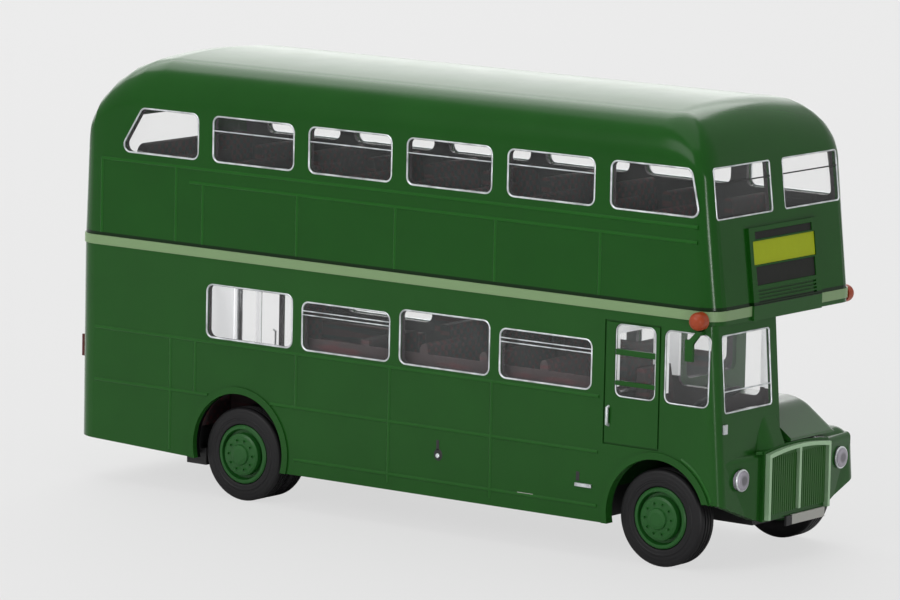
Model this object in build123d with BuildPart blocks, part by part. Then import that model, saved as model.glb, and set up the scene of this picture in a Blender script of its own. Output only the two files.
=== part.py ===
"""Half-cab double-decker bus: a 1:87 display model made of separate mouldings.

Units are millimetres. +X is forward, +Y the nearside (left), +Z up. The origin is on the
ground under the middle of the model. The driver sits on the offside (-Y), the bonnet is
on the nearside half of the nose, and the platform doors are at the nearside rear.
"""

import os
from math import cos, radians, sin, sqrt, tan

from build123d import *

# Running gear and the lengths that add up from nose to tail
WHEELBASE = 59.0
TYRE_RADIUS = 5.5
ARCH_CLEARANCE = 1.1
CAB_TOE = 1.8
NOSE_PROUD = 0.8
GRILLE_DEPTH = 0.6
REAR_OVERHANG = 25.0
REAR_LAMP_PROUD = 0.6

# Heights that add up from the axles to the roof
SADDLE_DEPTH = 1.15
SKIRT_DROP = 0.15
TAIL_RISE = 0.9
FLOOR_RISE = 3.5
FLOOR = 1.0
LOWER_HEIGHT = 25.2
UPPER_HEIGHT = 21.8

# Walls and clearances
BODY_WIDTH = 28.0
WALL = 1.0
FIT_GAP = 0.05
SEAT_GAP = 0.1

# Upper deck: raked front, leaning rear, domes at both ends, rounded shoulders
UPPER_SETBACK = 1.2
FRONT_RAKE = 7.1
FRONT_DOME = 5.7
REAR_LEAN = 0.5
REAR_DOME = 11.5
FRONT_CORNER = 2.2
REAR_CORNER = 3.0
SHOULDER = 5.0
FACE_SHOULDER = 1.3
INNER_FACE_SHOULDER = 0.3
CROWN_ANGLE = 7.0
DOME_ANGLES = (0, 5, 11, 18, 27, 38, 50, 63, 76, 90)

# Lower deck, half cab and the canopy over the bonnet
CANOPY_DEPTH = 1.7
CANOPY_SKIN = 0.6
LEDGE_DROP = 0.4
LEDGE_DEPTH = 0.8
BULKHEAD_GAP = 0.6
CAB_RAKE = 1.5
CAB_FOOT_RISE = 3.8
CAB_INNER_Y = -1.5
CAB_INNER_WALL = 0.8
CAB_FLOOR = 0.9
CAB_CORNER = 1.3
WHEELHOUSE_CLEARANCE = 1.5
WING_SKIN = 1.1
WING_EDGE = 2.6
WING_CORNER = 1.8
VALANCE_DEPTH = 2.2
VALANCE_OUTER_RISE = 3.8
VALANCE_INNER_RISE = 1.1
FRONT_ARCH_RISE = 0.1
REAR_ARCH_RISE = 0.65
LIP_WIDTH = 0.8
LIP_PROUD = 0.2
BAND_HEIGHT = 1.1
BAND_PROUD = 0.12
BAND_TOP_GAP = 0.1

# Radiator nose, lamp panels and bonnet
NOSE_HALF = 6.5
NOSE_HEIGHT = 8.7
NOSE_ARCH = 0.5
LAMP_PANEL_INSET = 1.1
LAMP_PANEL_SWEEP = 0.75
LAMP_PANEL_EDGE = 0.6
COWL_RISE = 3.9
COWL_LIP = 0.45
COWL_EDGE = 2.2
COWL_GAP = 0.8
BONNET_OUTER_Y = 8.6
BONNET_HEIGHT = 3.8
BONNET_BROW = 4.6
BONNET_NOSE_RISE = 0.35
BONNET_EDGE = 1.8
BONNET_BEND = 5.4
BONNET_GAP = 0.25
GRILLE_HALF = 6.2
GRILLE_BAR = 0.42
GRILLE_BACKING = 0.15
GRILLE_SLAT_PROUD = 0.08
GRILLE_CENTRE_FOOT = 0.6
SLATS = 26

# Windows: bays counted back from the front, pillars between them
BAY = 14.07
UPPER_PILLAR = 2.12
UPPER_WINDOW_HEIGHT = 5.4
UPPER_HEAD_DROP = 6.3
UPPER_FIRST_PILLAR = 2.4
UPPER_REAR_MARGIN = 6.2
QUARTER_SLANT = 3.4
CORNER_SLANT = 1.2
LOWER_PILLAR = 1.37
LOWER_WINDOW_HEIGHT = 6.3
OPENING_DROP = 0.6
LOWER_HEAD_DROP = 2.5
LOWER_FIRST_PILLAR = 1.9
LOWER_REAR_MARGIN = 6.2
WINDOW_CORNER = 0.9
FRONT_WINDOW_CORNER = 0.4
PANE_RECESS = 0.15
PANE_THICKNESS = 0.7
GLAZING_WEB = 0.6
GLAZING_LAP = 0.7
UPPER_WEB_LAP = 0.2
UPPER_WEB_FRONT = 4.2
UPPER_WEB_REAR = 9.0
CAB_DOOR_WIDTH = 5.5
CAB_DOOR_POST = 1.2
CAB_PILLAR = 1.1
CAB_FRONT_PILLAR = 0.3
CAB_WINDOW_HEIGHT = 8.3
CAB_HEAD_DROP = 0.85
CAB_INNER_POST = 1.8
SHUT_LINE = 0.2
SHUT_LINE_DEPTH = 0.2
SHUT_LINE_REAR = 1.4
SHUT_LINE_FRONT = 0.65
SHUT_LINE_HEAD = 0.25
SHUT_LINE_FOOT = 5.4
SCREEN_HEIGHT = 8.7
SCREEN_HEAD_DROP = 1.1
SCREEN_POST = 1.7
SCREEN_INNER_POST = 1.3
BULKHEAD_POST = 1.0
BULKHEAD_CENTRE_POST = 4.0
BULKHEAD_WINDOW_HEIGHT = 6.7
FRONT_MULLION = 2.4
FRONT_WINDOW_POST = 1.7
FRONT_WINDOW_HEIGHT = 5.7
REAR_WINDOW_POST = 5.4
REAR_WINDOW_HEIGHT = 5.4
REAR_WINDOW_DROP = 8.6
PLATFORM_WINDOW_START = 1.6
PLATFORM_WINDOW_POST = 3.4

# Platform doors
DOOR_REAR_POST = 2.6
DOOR_FRONT_POST = 1.4
DOOR_SILL = 2.0
DOOR_HEAD = 1.7
DOOR_LEAVES = 4
DOOR_THICKNESS = 0.6
DOOR_STILE = 0.22
DOOR_RAIL = 1.1
DOOR_KICK = 2.7
DOOR_CORNER = 0.3

# Seats, stairs and the platform pole
SEAT_PITCH = 8.4
SEAT_INNER_Y = 2.9
CUSHION_HEIGHT = 4.6
CUSHION_LENGTH = 4.8
CUSHION_DIP = 0.4
UPPER_BACK_HEIGHT = 9.0
LOWER_BACK_HEIGHT = 11.8
BACK_THICKNESS = 1.1
BACK_LEAN = 0.6
UPPER_LEGROOM = 10.0
LOWER_LEGROOM = 9.6
REAR_BENCH = 10.0
WHEELBOX_SKIN = 0.6
WHEELBOX_CLEARANCE = 1.35
WHEELBOX_LENGTH = 14.6
LONG_SEAT_BACK = 1.1
LONG_SEAT_RISE = 4.2
STAIR_REAR_GAP = 2.6
STAIR_LENGTH = 7.6
STAIR_SIDE_GAP = 0.4
STAIR_WIDTH = 5.6
STAIR_HEADROOM = 1.0
STEPS = 7
POLE_FROM_REAR = 8.3
POLE_Y = 7.0
POLE_RADIUS = 0.35

# Driver's seat and steering wheel
DRIVER_SEAT_GAP = 1.6
DRIVER_SEAT_WIDTH = 5.2
DRIVER_SEAT_LENGTH = 4.8
DRIVER_CUSHION = 2.2
DRIVER_BACK = 8.0
DRIVER_BACK_THICKNESS = 1.0
STEERING_SETBACK = 3.4
STEERING_HEIGHT = 5.4
STEERING_TILT = 28.0
STEERING_RADIUS = 2.6
STEERING_RIM = 0.28
STEERING_BOSS = 0.6
STEERING_SPOKE = 0.4
COLUMN_RADIUS = 0.4

# Chassis and wheelsets
FRAME_HALF = 4.6
FRAME_NOSE_GAP = 0.6
PAD_LENGTH = 24.0
PAD_WIDTH = 11.0
PAD_DEPTH = 1.0
AXLE_RADIUS = 0.75
AXLE_CLEARANCE = 0.05
WHEEL_INSET = 0.8
FRONT_TYRE_WIDTH = 2.9
REAR_TYRE_WIDTH = 2.55
TWIN_GAP = 0.35
RIM_RADIUS = 3.45
SIDEWALL = 0.7
BEAD_STEP = 0.5
PRESS_GAP = 0.02
HUB_CAP = 0.55
FLAP_LENGTH = 2.9
FLAP_LAP = 0.9
FLAP_INSET = 1.0
FLAP_WIDTH = 5.0
FLAP_DROP = 1.05

# Lamps, plates, blind box and mirror
HEADLAMP_RADIUS = 1.15
HEADLAMP_DEPTH = 0.5
HEADLAMP_PROUD = 0.35
HEADLAMP_RISE = 6.2
INDICATOR_RADIUS = 1.0
INDICATOR_PROUD = 1.7
INDICATOR_SETBACK = 1.7
INDICATOR_DROP = 1.1
SIDELIGHT_WIDTH = 0.7
SIDELIGHT_HEIGHT = 1.05
SIDELIGHT_PROUD = 0.2
SIDELIGHT_INSET = 1.5
SIDELIGHT_DROP = 1.6
REAR_LAMP_WIDTH = 1.1
REAR_LAMP_HEIGHT = 2.6
REAR_LAMP_DEPTH = 1.2
REAR_LAMP_INSET = 2.7
REAR_LAMP_RISE = 11.3
PLATE_THICKNESS = 0.25
FRONT_PLATE_WIDTH = 6.6
FRONT_PLATE_HEIGHT = 1.1
FRONT_PLATE_Y = 2.4
REAR_PLATE_WIDTH = 6.0
REAR_PLATE_HEIGHT = 1.4
REAR_PLATE_Y = -6.0
REAR_PLATE_RISE = 12.8
BLIND_WIDTH = 13.7
BLIND_HEIGHT = 8.5
BLIND_PROUD = 0.35
BLIND_RECESS = 0.2
LOUVRE_HEIGHT = 0.22
LOUVRES = 4
MIRROR_WIDTH = 1.0
MIRROR_HEIGHT = 2.4
MIRROR_THICKNESS = 0.4
MIRROR_SETBACK = 2.3
MIRROR_DROP = 3.2
MIRROR_FOOT = 0.5
MIRROR_FOOT_DROP = 0.75
MIRROR_PROUD = 0.9

# Worked out across the bus
HALF_WIDTH = BODY_WIDTH / 2
INNER_HALF = HALF_WIDTH - WALL
WHEEL_FACE_Y = HALF_WIDTH - WHEEL_INSET
REAR_TREAD = 2 * REAR_TYRE_WIDTH + TWIN_GAP
WHEELBOX_INNER_Y = WHEEL_FACE_Y - REAR_TREAD - WHEELBOX_CLEARANCE
REAR_FRAME_HALF = WHEELBOX_INNER_Y - 2 * SEAT_GAP
SEAT_OUTER_Y = INNER_HALF - FIT_GAP - GLAZING_WEB - SEAT_GAP
HEADLAMP_Y = (NOSE_HALF + HALF_WIDTH) / 2 - WALL / 4
REAR_LAMP_Y = HALF_WIDTH - REAR_LAMP_INSET

# Worked out along the bus, from the middle of its length
ARCH_RADIUS = TYRE_RADIUS + ARCH_CLEARANCE
FRONT_OVERHANG = ARCH_RADIUS + CAB_TOE + NOSE_PROUD + GRILLE_DEPTH
LENGTH = FRONT_OVERHANG + WHEELBASE + REAR_OVERHANG + REAR_LAMP_PROUD
FRONT_AXLE_X = LENGTH / 2 - FRONT_OVERHANG
REAR_AXLE_X = FRONT_AXLE_X - WHEELBASE
BODY_REAR_X = REAR_AXLE_X - REAR_OVERHANG
BULKHEAD_X = FRONT_AXLE_X - ARCH_RADIUS - BULKHEAD_GAP
CAB_FOOT_X = FRONT_AXLE_X + ARCH_RADIUS + CAB_TOE
CAB_HEAD_X = CAB_FOOT_X - CAB_RAKE
VALANCE_X = CAB_FOOT_X - VALANCE_DEPTH
WHEELHOUSE_X = VALANCE_X + WALL
NOSE_X = CAB_FOOT_X + NOSE_PROUD
UPPER_FRONT_X = CAB_FOOT_X - UPPER_SETBACK
UPPER_EDGE_X = UPPER_FRONT_X - UPPER_FIRST_PILLAR
LOWER_EDGE_X = BULKHEAD_X - LOWER_FIRST_PILLAR
DOORWAY_X = (BODY_REAR_X + DOOR_REAR_POST, REAR_AXLE_X - ARCH_RADIUS - DOOR_FRONT_POST)
STAIR_X = (BODY_REAR_X + STAIR_REAR_GAP, BODY_REAR_X + STAIR_REAR_GAP + STAIR_LENGTH)
STAIR_OUTER_Y = -(INNER_HALF - LEDGE_DEPTH - STAIR_SIDE_GAP)
WHEELBOX_X = (REAR_AXLE_X - WHEELBOX_LENGTH / 2, REAR_AXLE_X + WHEELBOX_LENGTH / 2)

# Worked out upwards from the ground
AXLE_Z = TYRE_RADIUS
CHASSIS_Z = AXLE_Z - SADDLE_DEPTH
SKIRT_Z = CHASSIS_Z - SKIRT_DROP
PAD_Z = CHASSIS_Z - PAD_DEPTH
FLOOR_Z = AXLE_Z + FLOOR_RISE
PAN_TOP_Z = FLOOR_Z - FLOOR
WHEELHOUSE_Z = 2 * TYRE_RADIUS + WHEELHOUSE_CLEARANCE
CAB_FLOOR_Z = WHEELHOUSE_Z + CAB_FLOOR
WING_Z = WHEELHOUSE_Z + WING_SKIN
WHEELBOX_Z = WHEELHOUSE_Z + WING_SKIN
CAB_FOOT_Z = SKIRT_Z + CAB_FOOT_RISE
VALANCE_OUTER_Z = SKIRT_Z + VALANCE_OUTER_RISE
VALANCE_INNER_Z = SKIRT_Z + VALANCE_INNER_RISE
NOSE_TOP_Z = SKIRT_Z + NOSE_HEIGHT
NOSE_CREST_Z = NOSE_TOP_Z + NOSE_HALF - GRILLE_HALF + NOSE_ARCH
GRILLE_LOW_Z = VALANCE_INNER_Z + WALL / 5
COWL_TOP_Z = NOSE_TOP_Z + COWL_RISE
HEADLAMP_Z = SKIRT_Z + HEADLAMP_RISE
REAR_LAMP_Z = SKIRT_Z + REAR_LAMP_RISE
SPLIT_Z = SKIRT_Z + LOWER_HEIGHT
CANOPY_Z = SPLIT_Z - CANOPY_DEPTH
LEDGE_Z = SPLIT_Z - LEDGE_DROP
ROOF_Z = SPLIT_Z + UPPER_HEIGHT
UPPER_FLOOR_Z = LEDGE_Z + FLOOR
UPPER_HEAD_Z = ROOF_Z - UPPER_HEAD_DROP
UPPER_SILL_Z = UPPER_HEAD_Z - UPPER_WINDOW_HEIGHT
LOWER_HEAD_Z = CANOPY_Z - LOWER_HEAD_DROP
LOWER_SILL_Z = LOWER_HEAD_Z - LOWER_WINDOW_HEIGHT
CAB_WINDOW_Z = (CANOPY_Z - CAB_HEAD_DROP - CAB_WINDOW_HEIGHT, CANOPY_Z - CAB_HEAD_DROP)
SCREEN_Z = (CANOPY_Z - SCREEN_HEAD_DROP - SCREEN_HEIGHT, CANOPY_Z - SCREEN_HEAD_DROP)
BULKHEAD_WINDOW_Z = (LOWER_HEAD_Z - BULKHEAD_WINDOW_HEIGHT, LOWER_HEAD_Z)
DOORWAY_Z = (SKIRT_Z + DOOR_SILL, CANOPY_Z - DOOR_HEAD)
DOOR_GLASS_Z = (DOORWAY_Z[0] + DOOR_KICK, DOORWAY_Z[1] - DOOR_RAIL)
REAR_WINDOW_Z = (ROOF_Z - REAR_WINDOW_DROP - REAR_WINDOW_HEIGHT, ROOF_Z - REAR_WINDOW_DROP)
FRONT_WINDOW_Z = (UPPER_HEAD_Z - FRONT_WINDOW_HEIGHT, UPPER_HEAD_Z)

os.makedirs("parts", exist_ok=True)


def save(part, label):
    """Names one finished piece and writes it as its own file."""
    part.label = label
    export_step(part, f"parts/{label}.step")


def cab_x(z):
    """Outer face of the cab front at a height."""
    return CAB_FOOT_X - (z - CAB_FOOT_Z) * CAB_RAKE / (CANOPY_Z - CAB_FOOT_Z)


def frame_between(across, upright, gap=0.0, corner=0.0, mode=Mode.ADD):
    """Draws a rectangle between two pairs of limits, smaller all round by the gap."""
    width = across[1] - across[0] - 2 * gap
    height = upright[1] - upright[0] - 2 * gap
    with Locations(((across[0] + across[1]) / 2, (upright[0] + upright[1]) / 2)):
        if corner:
            RectangleRounded(width, height, corner, mode=mode)
        else:
            Rectangle(width, height, mode=mode)


def side_profile(points, y_from, y_to, mode=Mode.ADD):
    """Extrudes an outline drawn in the side view between two places across the bus."""
    with BuildSketch(Plane.XZ.offset(-y_to)) as profile:
        Polygon(*points, align=None)
    extrude(profile.sketch, amount=y_to - y_from, mode=mode)


def plan_outline(z, front_x, inset, front_corner=FRONT_CORNER):
    """The body's plan at a height, drawn in from its outer faces and rounded at its corners."""
    with BuildSketch(Plane.XY.offset(z)) as plan:
        limit = HALF_WIDTH - inset
        frame_between((BODY_REAR_X + inset, front_x - inset), (-limit, limit))
        fillet(plan.vertices().sort_by(Axis.X)[:2], radius=REAR_CORNER - inset)
        if front_corner > inset:
            fillet(plan.vertices().sort_by(Axis.X)[-2:], radius=front_corner - inset)
    return plan.sketch


# Window openings, drawn once and used for the walls and, less a gap, for the panes
upper_bays = int((UPPER_EDGE_X - BODY_REAR_X - UPPER_REAR_MARGIN + UPPER_PILLAR) / BAY)
lower_bays = int((LOWER_EDGE_X - REAR_AXLE_X + LOWER_REAR_MARGIN + LOWER_PILLAR) / BAY)
CAB_DOOR_X = (BULKHEAD_X + CAB_DOOR_POST, BULKHEAD_X + CAB_DOOR_POST + CAB_DOOR_WIDTH)
CAB_QUARTER_X = (CAB_DOOR_X[1] + CAB_PILLAR, CAB_HEAD_X - CAB_FRONT_PILLAR)
CAB_INNER_X = (BULKHEAD_X + CAB_INNER_POST, CAB_HEAD_X - CAB_FRONT_PILLAR - WALL)
SCREEN_Y = (-HALF_WIDTH + SCREEN_POST, CAB_INNER_Y - SCREEN_INNER_POST)
NEARSIDE_BULKHEAD_Y = (BULKHEAD_CENTRE_POST / 2, INNER_HALF - BULKHEAD_POST)
OFFSIDE_BULKHEAD_Y = (-INNER_HALF + BULKHEAD_POST, CAB_INNER_Y - CAB_INNER_WALL - BULKHEAD_POST)
REAR_WINDOW_Y = (-HALF_WIDTH + REAR_WINDOW_POST, HALF_WIDTH - REAR_WINDOW_POST)
PLATFORM_WINDOW_Y = (PLATFORM_WINDOW_START, HALF_WIDTH - PLATFORM_WINDOW_POST)
FRONT_FACE = Plane(
    (UPPER_FRONT_X, 0, SPLIT_Z),
    x_dir=(0, 1, 0),
    z_dir=(cos(radians(FRONT_RAKE)), 0, sin(radians(FRONT_RAKE))),
)


def up_the_face(z):
    """Distance up the raked front face from its foot to a height."""
    return (z - SPLIT_Z) / cos(radians(FRONT_RAKE))


def upper_side_windows(sketch, gap):
    """Draws the upper side windows: the first follows the front's rake, the last is tapered."""
    low, high = UPPER_SILL_Z + gap, UPPER_HEAD_Z - gap
    for bay in range(upper_bays):
        right = UPPER_EDGE_X - bay * BAY - gap
        left = right - BAY + UPPER_PILLAR + 2 * gap
        head_right = right - (CORNER_SLANT if bay == 0 else 0)
        head_left = left + (QUARTER_SLANT if bay == upper_bays - 1 else 0)
        Polygon((left, low), (right, low), (head_right, high), (head_left, high), align=None)
    fillet(sketch.vertices(), radius=WINDOW_CORNER)


def lower_side_windows(sketch, gap):
    """Draws the saloon windows: every other one has an opening light and a lower head."""
    for bay in range(lower_bays):
        right = LOWER_EDGE_X - bay * BAY
        head = LOWER_HEAD_Z - (OPENING_DROP if bay % 2 == 0 else 0)
        frame_between((right - BAY + LOWER_PILLAR, right), (LOWER_SILL_Z, head), gap)
    fillet(sketch.vertices(), radius=WINDOW_CORNER)


def upper_front_windows(gap):
    """Draws both upper front windows on the raked face."""
    upright = (up_the_face(FRONT_WINDOW_Z[0]), up_the_face(FRONT_WINDOW_Z[1]))
    inner, outer = FRONT_MULLION / 2, HALF_WIDTH - FRONT_WINDOW_POST
    frame_between((-outer, -inner), upright, gap, FRONT_WINDOW_CORNER)
    frame_between((inner, outer), upright, gap, FRONT_WINDOW_CORNER)


def cab_side_windows(gap):
    """Draws the window of the cab door and the quarter window ahead of it."""
    frame_between(CAB_DOOR_X, CAB_WINDOW_Z, gap, WINDOW_CORNER)
    frame_between(CAB_QUARTER_X, CAB_WINDOW_Z, gap, WINDOW_CORNER)


def bulkhead_windows(gap):
    """Draws the windows behind the bonnet and behind the driver."""
    frame_between(NEARSIDE_BULKHEAD_Y, BULKHEAD_WINDOW_Z, gap, WINDOW_CORNER)
    frame_between(OFFSIDE_BULKHEAD_Y, BULKHEAD_WINDOW_Z, gap, WINDOW_CORNER)


# Upper deck: a hollow shell, lofted over both domes and straight between them
def deck_section(plane, half_width, height, shoulder):
    """One cross-section of the upper deck: upright sides, rounded shoulders, cambered crown."""
    lean = radians(CROWN_ANGLE)
    half_crown = half_width - shoulder * (1 - sin(lean))
    spring = height - shoulder * cos(lean) - half_crown * tan(lean / 2)
    edge = spring + shoulder * cos(lean)
    middle = (radians(90) + lean) / 2
    bulge = (half_width - shoulder * (1 - sin(middle)), spring + shoulder * cos(middle))
    with BuildSketch(plane) as section:
        with BuildLine():
            Line((half_width, 0), (half_width, spring))
            ThreePointArc((half_width, spring), bulge, (half_crown, edge))
            ThreePointArc((half_crown, edge), (0, height), (-half_crown, edge))
            ThreePointArc((-half_crown, edge), (-bulge[0], bulge[1]), (-half_width, spring))
            Line((-half_width, spring), (-half_width, 0))
            Line((-half_width, 0), (half_width, 0))
        make_face()
    return section.sketch


def corner_width(depth, corner, half_width):
    """Half width at a depth behind an end face whose corners have that radius in plan."""
    if depth >= corner:
        return half_width
    return half_width - corner + sqrt(corner**2 - (corner - depth) ** 2)


def dome(way, foot_x, lean, rake, drop, corner, inset):
    """Lofts one end of the deck, from its end face back to where the roof is level.

    The face leans in by lean over its height, then turns over an arc into the roof. Each
    section stands on the deck's base and leans less the further it is from the face.
    """
    half, roof = HALF_WIDTH - inset, ROOF_Z - inset
    face_shoulder = max(FACE_SHOULDER - inset, INNER_FACE_SHOULDER)
    radius = (drop - inset) / (1 - sin(rake))
    head_x = foot_x - lean
    centre_x = head_x - radius * cos(rake)
    sections = []
    for share in DOME_ANGLES:
        angle = rake + (radians(90) - rake) * share / 90
        top_x = centre_x + radius * cos(angle)
        rise = roof - radius + radius * sin(angle) - SPLIT_Z
        depth = head_x - top_x
        tilt = lean * (1 - depth / (head_x - centre_x))
        slope = sqrt(rise**2 + tilt**2)
        plane = Plane(
            (way * (top_x + tilt), 0, SPLIT_Z),
            x_dir=(0, 1, 0),
            z_dir=(rise / slope, 0, way * tilt / slope),
        )
        shoulder = face_shoulder + (SHOULDER - inset - face_shoulder) * sin(angle)
        sections.append(deck_section(plane, corner_width(depth, corner, half), slope, shoulder))
    with BuildPart() as end:
        loft(sections, ruled=True)
    return end.part, centre_x


def deck_form(inset):
    """The upper deck's outer form, or its cavity where inset is the wall."""
    rake = radians(FRONT_RAKE)
    front_lean = (UPPER_HEIGHT - FRONT_DOME) * tan(rake)
    front, front_end = dome(
        1, UPPER_FRONT_X - inset, front_lean, rake, FRONT_DOME, FRONT_CORNER - inset, inset
    )
    rear, rear_end = dome(
        -1, -BODY_REAR_X - inset, REAR_LEAN, 0.0, REAR_DOME, REAR_CORNER - inset, inset
    )
    base = Plane((-rear_end, 0, SPLIT_Z), x_dir=(0, 1, 0), z_dir=(1, 0, 0))
    middle = deck_section(base, HALF_WIDTH - inset, UPPER_HEIGHT - inset, SHOULDER - inset)
    with BuildPart() as form:
        extrude(middle, amount=front_end + rear_end)
        add(front)
        add(rear)
    return form.part


with BuildPart() as upper_body:
    add(deck_form(0.0))
    add(deck_form(WALL), mode=Mode.SUBTRACT)
    with BuildSketch(Plane.XZ) as side_openings:
        upper_side_windows(side_openings, 0.0)
    extrude(amount=HALF_WIDTH, both=True, mode=Mode.SUBTRACT)
    with BuildSketch(FRONT_FACE):
        upper_front_windows(0.0)
    extrude(amount=2 * WALL, both=True, mode=Mode.SUBTRACT)
    with BuildSketch(Plane.YZ.offset(BODY_REAR_X)):
        frame_between(REAR_WINDOW_Y, REAR_WINDOW_Z, 0.0, WINDOW_CORNER)
    extrude(amount=3 * WALL, both=True, mode=Mode.SUBTRACT)
save(upper_body.part, "upper_body")


# Lower deck: saloon, half cab, wings, radiator nose and canopy in one moulding
def front_column(head_z, y_from, y_to):
    """The cab or wing block from the bulkhead to the raked front, up to a height."""
    side_profile(
        (
            (BULKHEAD_X - WALL, SKIRT_Z),
            (cab_x(SKIRT_Z), SKIRT_Z),
            (cab_x(head_z), head_z),
            (BULKHEAD_X - WALL, head_z),
        ),
        y_from,
        y_to,
    )


with BuildPart() as wing:
    front_column(WING_Z, CAB_INNER_Y, HALF_WIDTH)
    outer_edges = wing.edges().filter_by_position(Axis.Y, HALF_WIDTH, HALF_WIDTH)
    fillet(outer_edges.sort_by(Axis.Z)[-1], radius=WING_EDGE)
    raked_edges = wing.edges().filter_by(lambda edge: edge.bounding_box().size.Z > WING_EDGE + WALL)
    fillet(raked_edges.sort_by(Axis.X)[-2:].sort_by(Axis.Y)[-1], radius=WING_CORNER)

with BuildPart() as cab:
    front_column(CANOPY_Z, -HALF_WIDTH, CAB_INNER_Y)
    raked_edges = cab.edges().filter_by(lambda edge: edge.bounding_box().size.Z > WALL)
    fillet(raked_edges.sort_by(Axis.X)[-2:].sort_by(Axis.Y)[0], radius=CAB_CORNER)

# Lamp panels sweep forward from the outer corners to the radiator nose
with BuildPart() as lamp_panels:
    for side in (-1, 1):
        with BuildSketch(Plane.XY.offset(VALANCE_INNER_Z)):
            outer_y = side * (HALF_WIDTH - LAMP_PANEL_INSET)
            inner_y = side * (NOSE_HALF - WALL)
            crest_y = side * (NOSE_HALF + LAMP_PANEL_EDGE)
            Polygon(
                (VALANCE_X, outer_y),
                (cab_x(NOSE_TOP_Z), outer_y),
                (cab_x(NOSE_TOP_Z) + LAMP_PANEL_SWEEP, crest_y),
                (cab_x(NOSE_TOP_Z) + LAMP_PANEL_SWEEP, inner_y),
                (VALANCE_X, inner_y),
                align=None,
            )
        extrude(amount=NOSE_TOP_Z - VALANCE_INNER_Z)
    crown = lamp_panels.faces().sort_by(Axis.Z)[-2:].edges()
    fillet(crown.filter_by(lambda edge: edge.center().X > cab_x(NOSE_TOP_Z)), radius=LAMP_PANEL_EDGE)


def grille_outline(inset):
    """Draws the radiator's outline with its arched head, smaller all round by the inset."""
    half = GRILLE_HALF - inset
    low, high = GRILLE_LOW_Z + inset, NOSE_TOP_Z - inset
    with BuildLine() as outline:
        Polyline((-half, high), (-half, low), (half, low), (half, high))
        ThreePointArc((half, high), (0, high + NOSE_ARCH), (-half, high))
    make_face(outline.edges())


def arch_circles(radius):
    """Draws both wheel arches in the side view."""
    front, rear = AXLE_Z + FRONT_ARCH_RISE, AXLE_Z + REAR_ARCH_RISE
    with Locations((FRONT_AXLE_X, front), (REAR_AXLE_X, rear)):
        Circle(radius)


def tail_wedge(lift):
    """Cuts the underside behind the rear axle to a rising line, set higher by the lift."""
    side_profile(
        (
            (REAR_AXLE_X, 0),
            (REAR_AXLE_X, SKIRT_Z + lift),
            (BODY_REAR_X, SKIRT_Z + lift + TAIL_RISE),
            (BODY_REAR_X - WALL, SKIRT_Z + lift + TAIL_RISE),
            (BODY_REAR_X - WALL, 0),
        ),
        -BODY_WIDTH,
        BODY_WIDTH,
        Mode.SUBTRACT,
    )


# Cowl that slopes from the radiator up to the windscreen, rounded on the driver's side
with BuildPart() as cowl:
    side_profile(
        (
            (VALANCE_X, NOSE_TOP_Z),
            (NOSE_X, NOSE_TOP_Z),
            (NOSE_X, NOSE_TOP_Z + COWL_LIP),
            (cab_x(COWL_TOP_Z), COWL_TOP_Z),
            (VALANCE_X, COWL_TOP_Z),
        ),
        -NOSE_HALF,
        CAB_INNER_Y - COWL_GAP,
    )
    slope = cowl.faces().filter_by(lambda face: face.normal_at().X * face.normal_at().Z > 0)
    fillet(slope.edges().sort_by(Axis.Y)[0], radius=COWL_EDGE)

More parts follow.
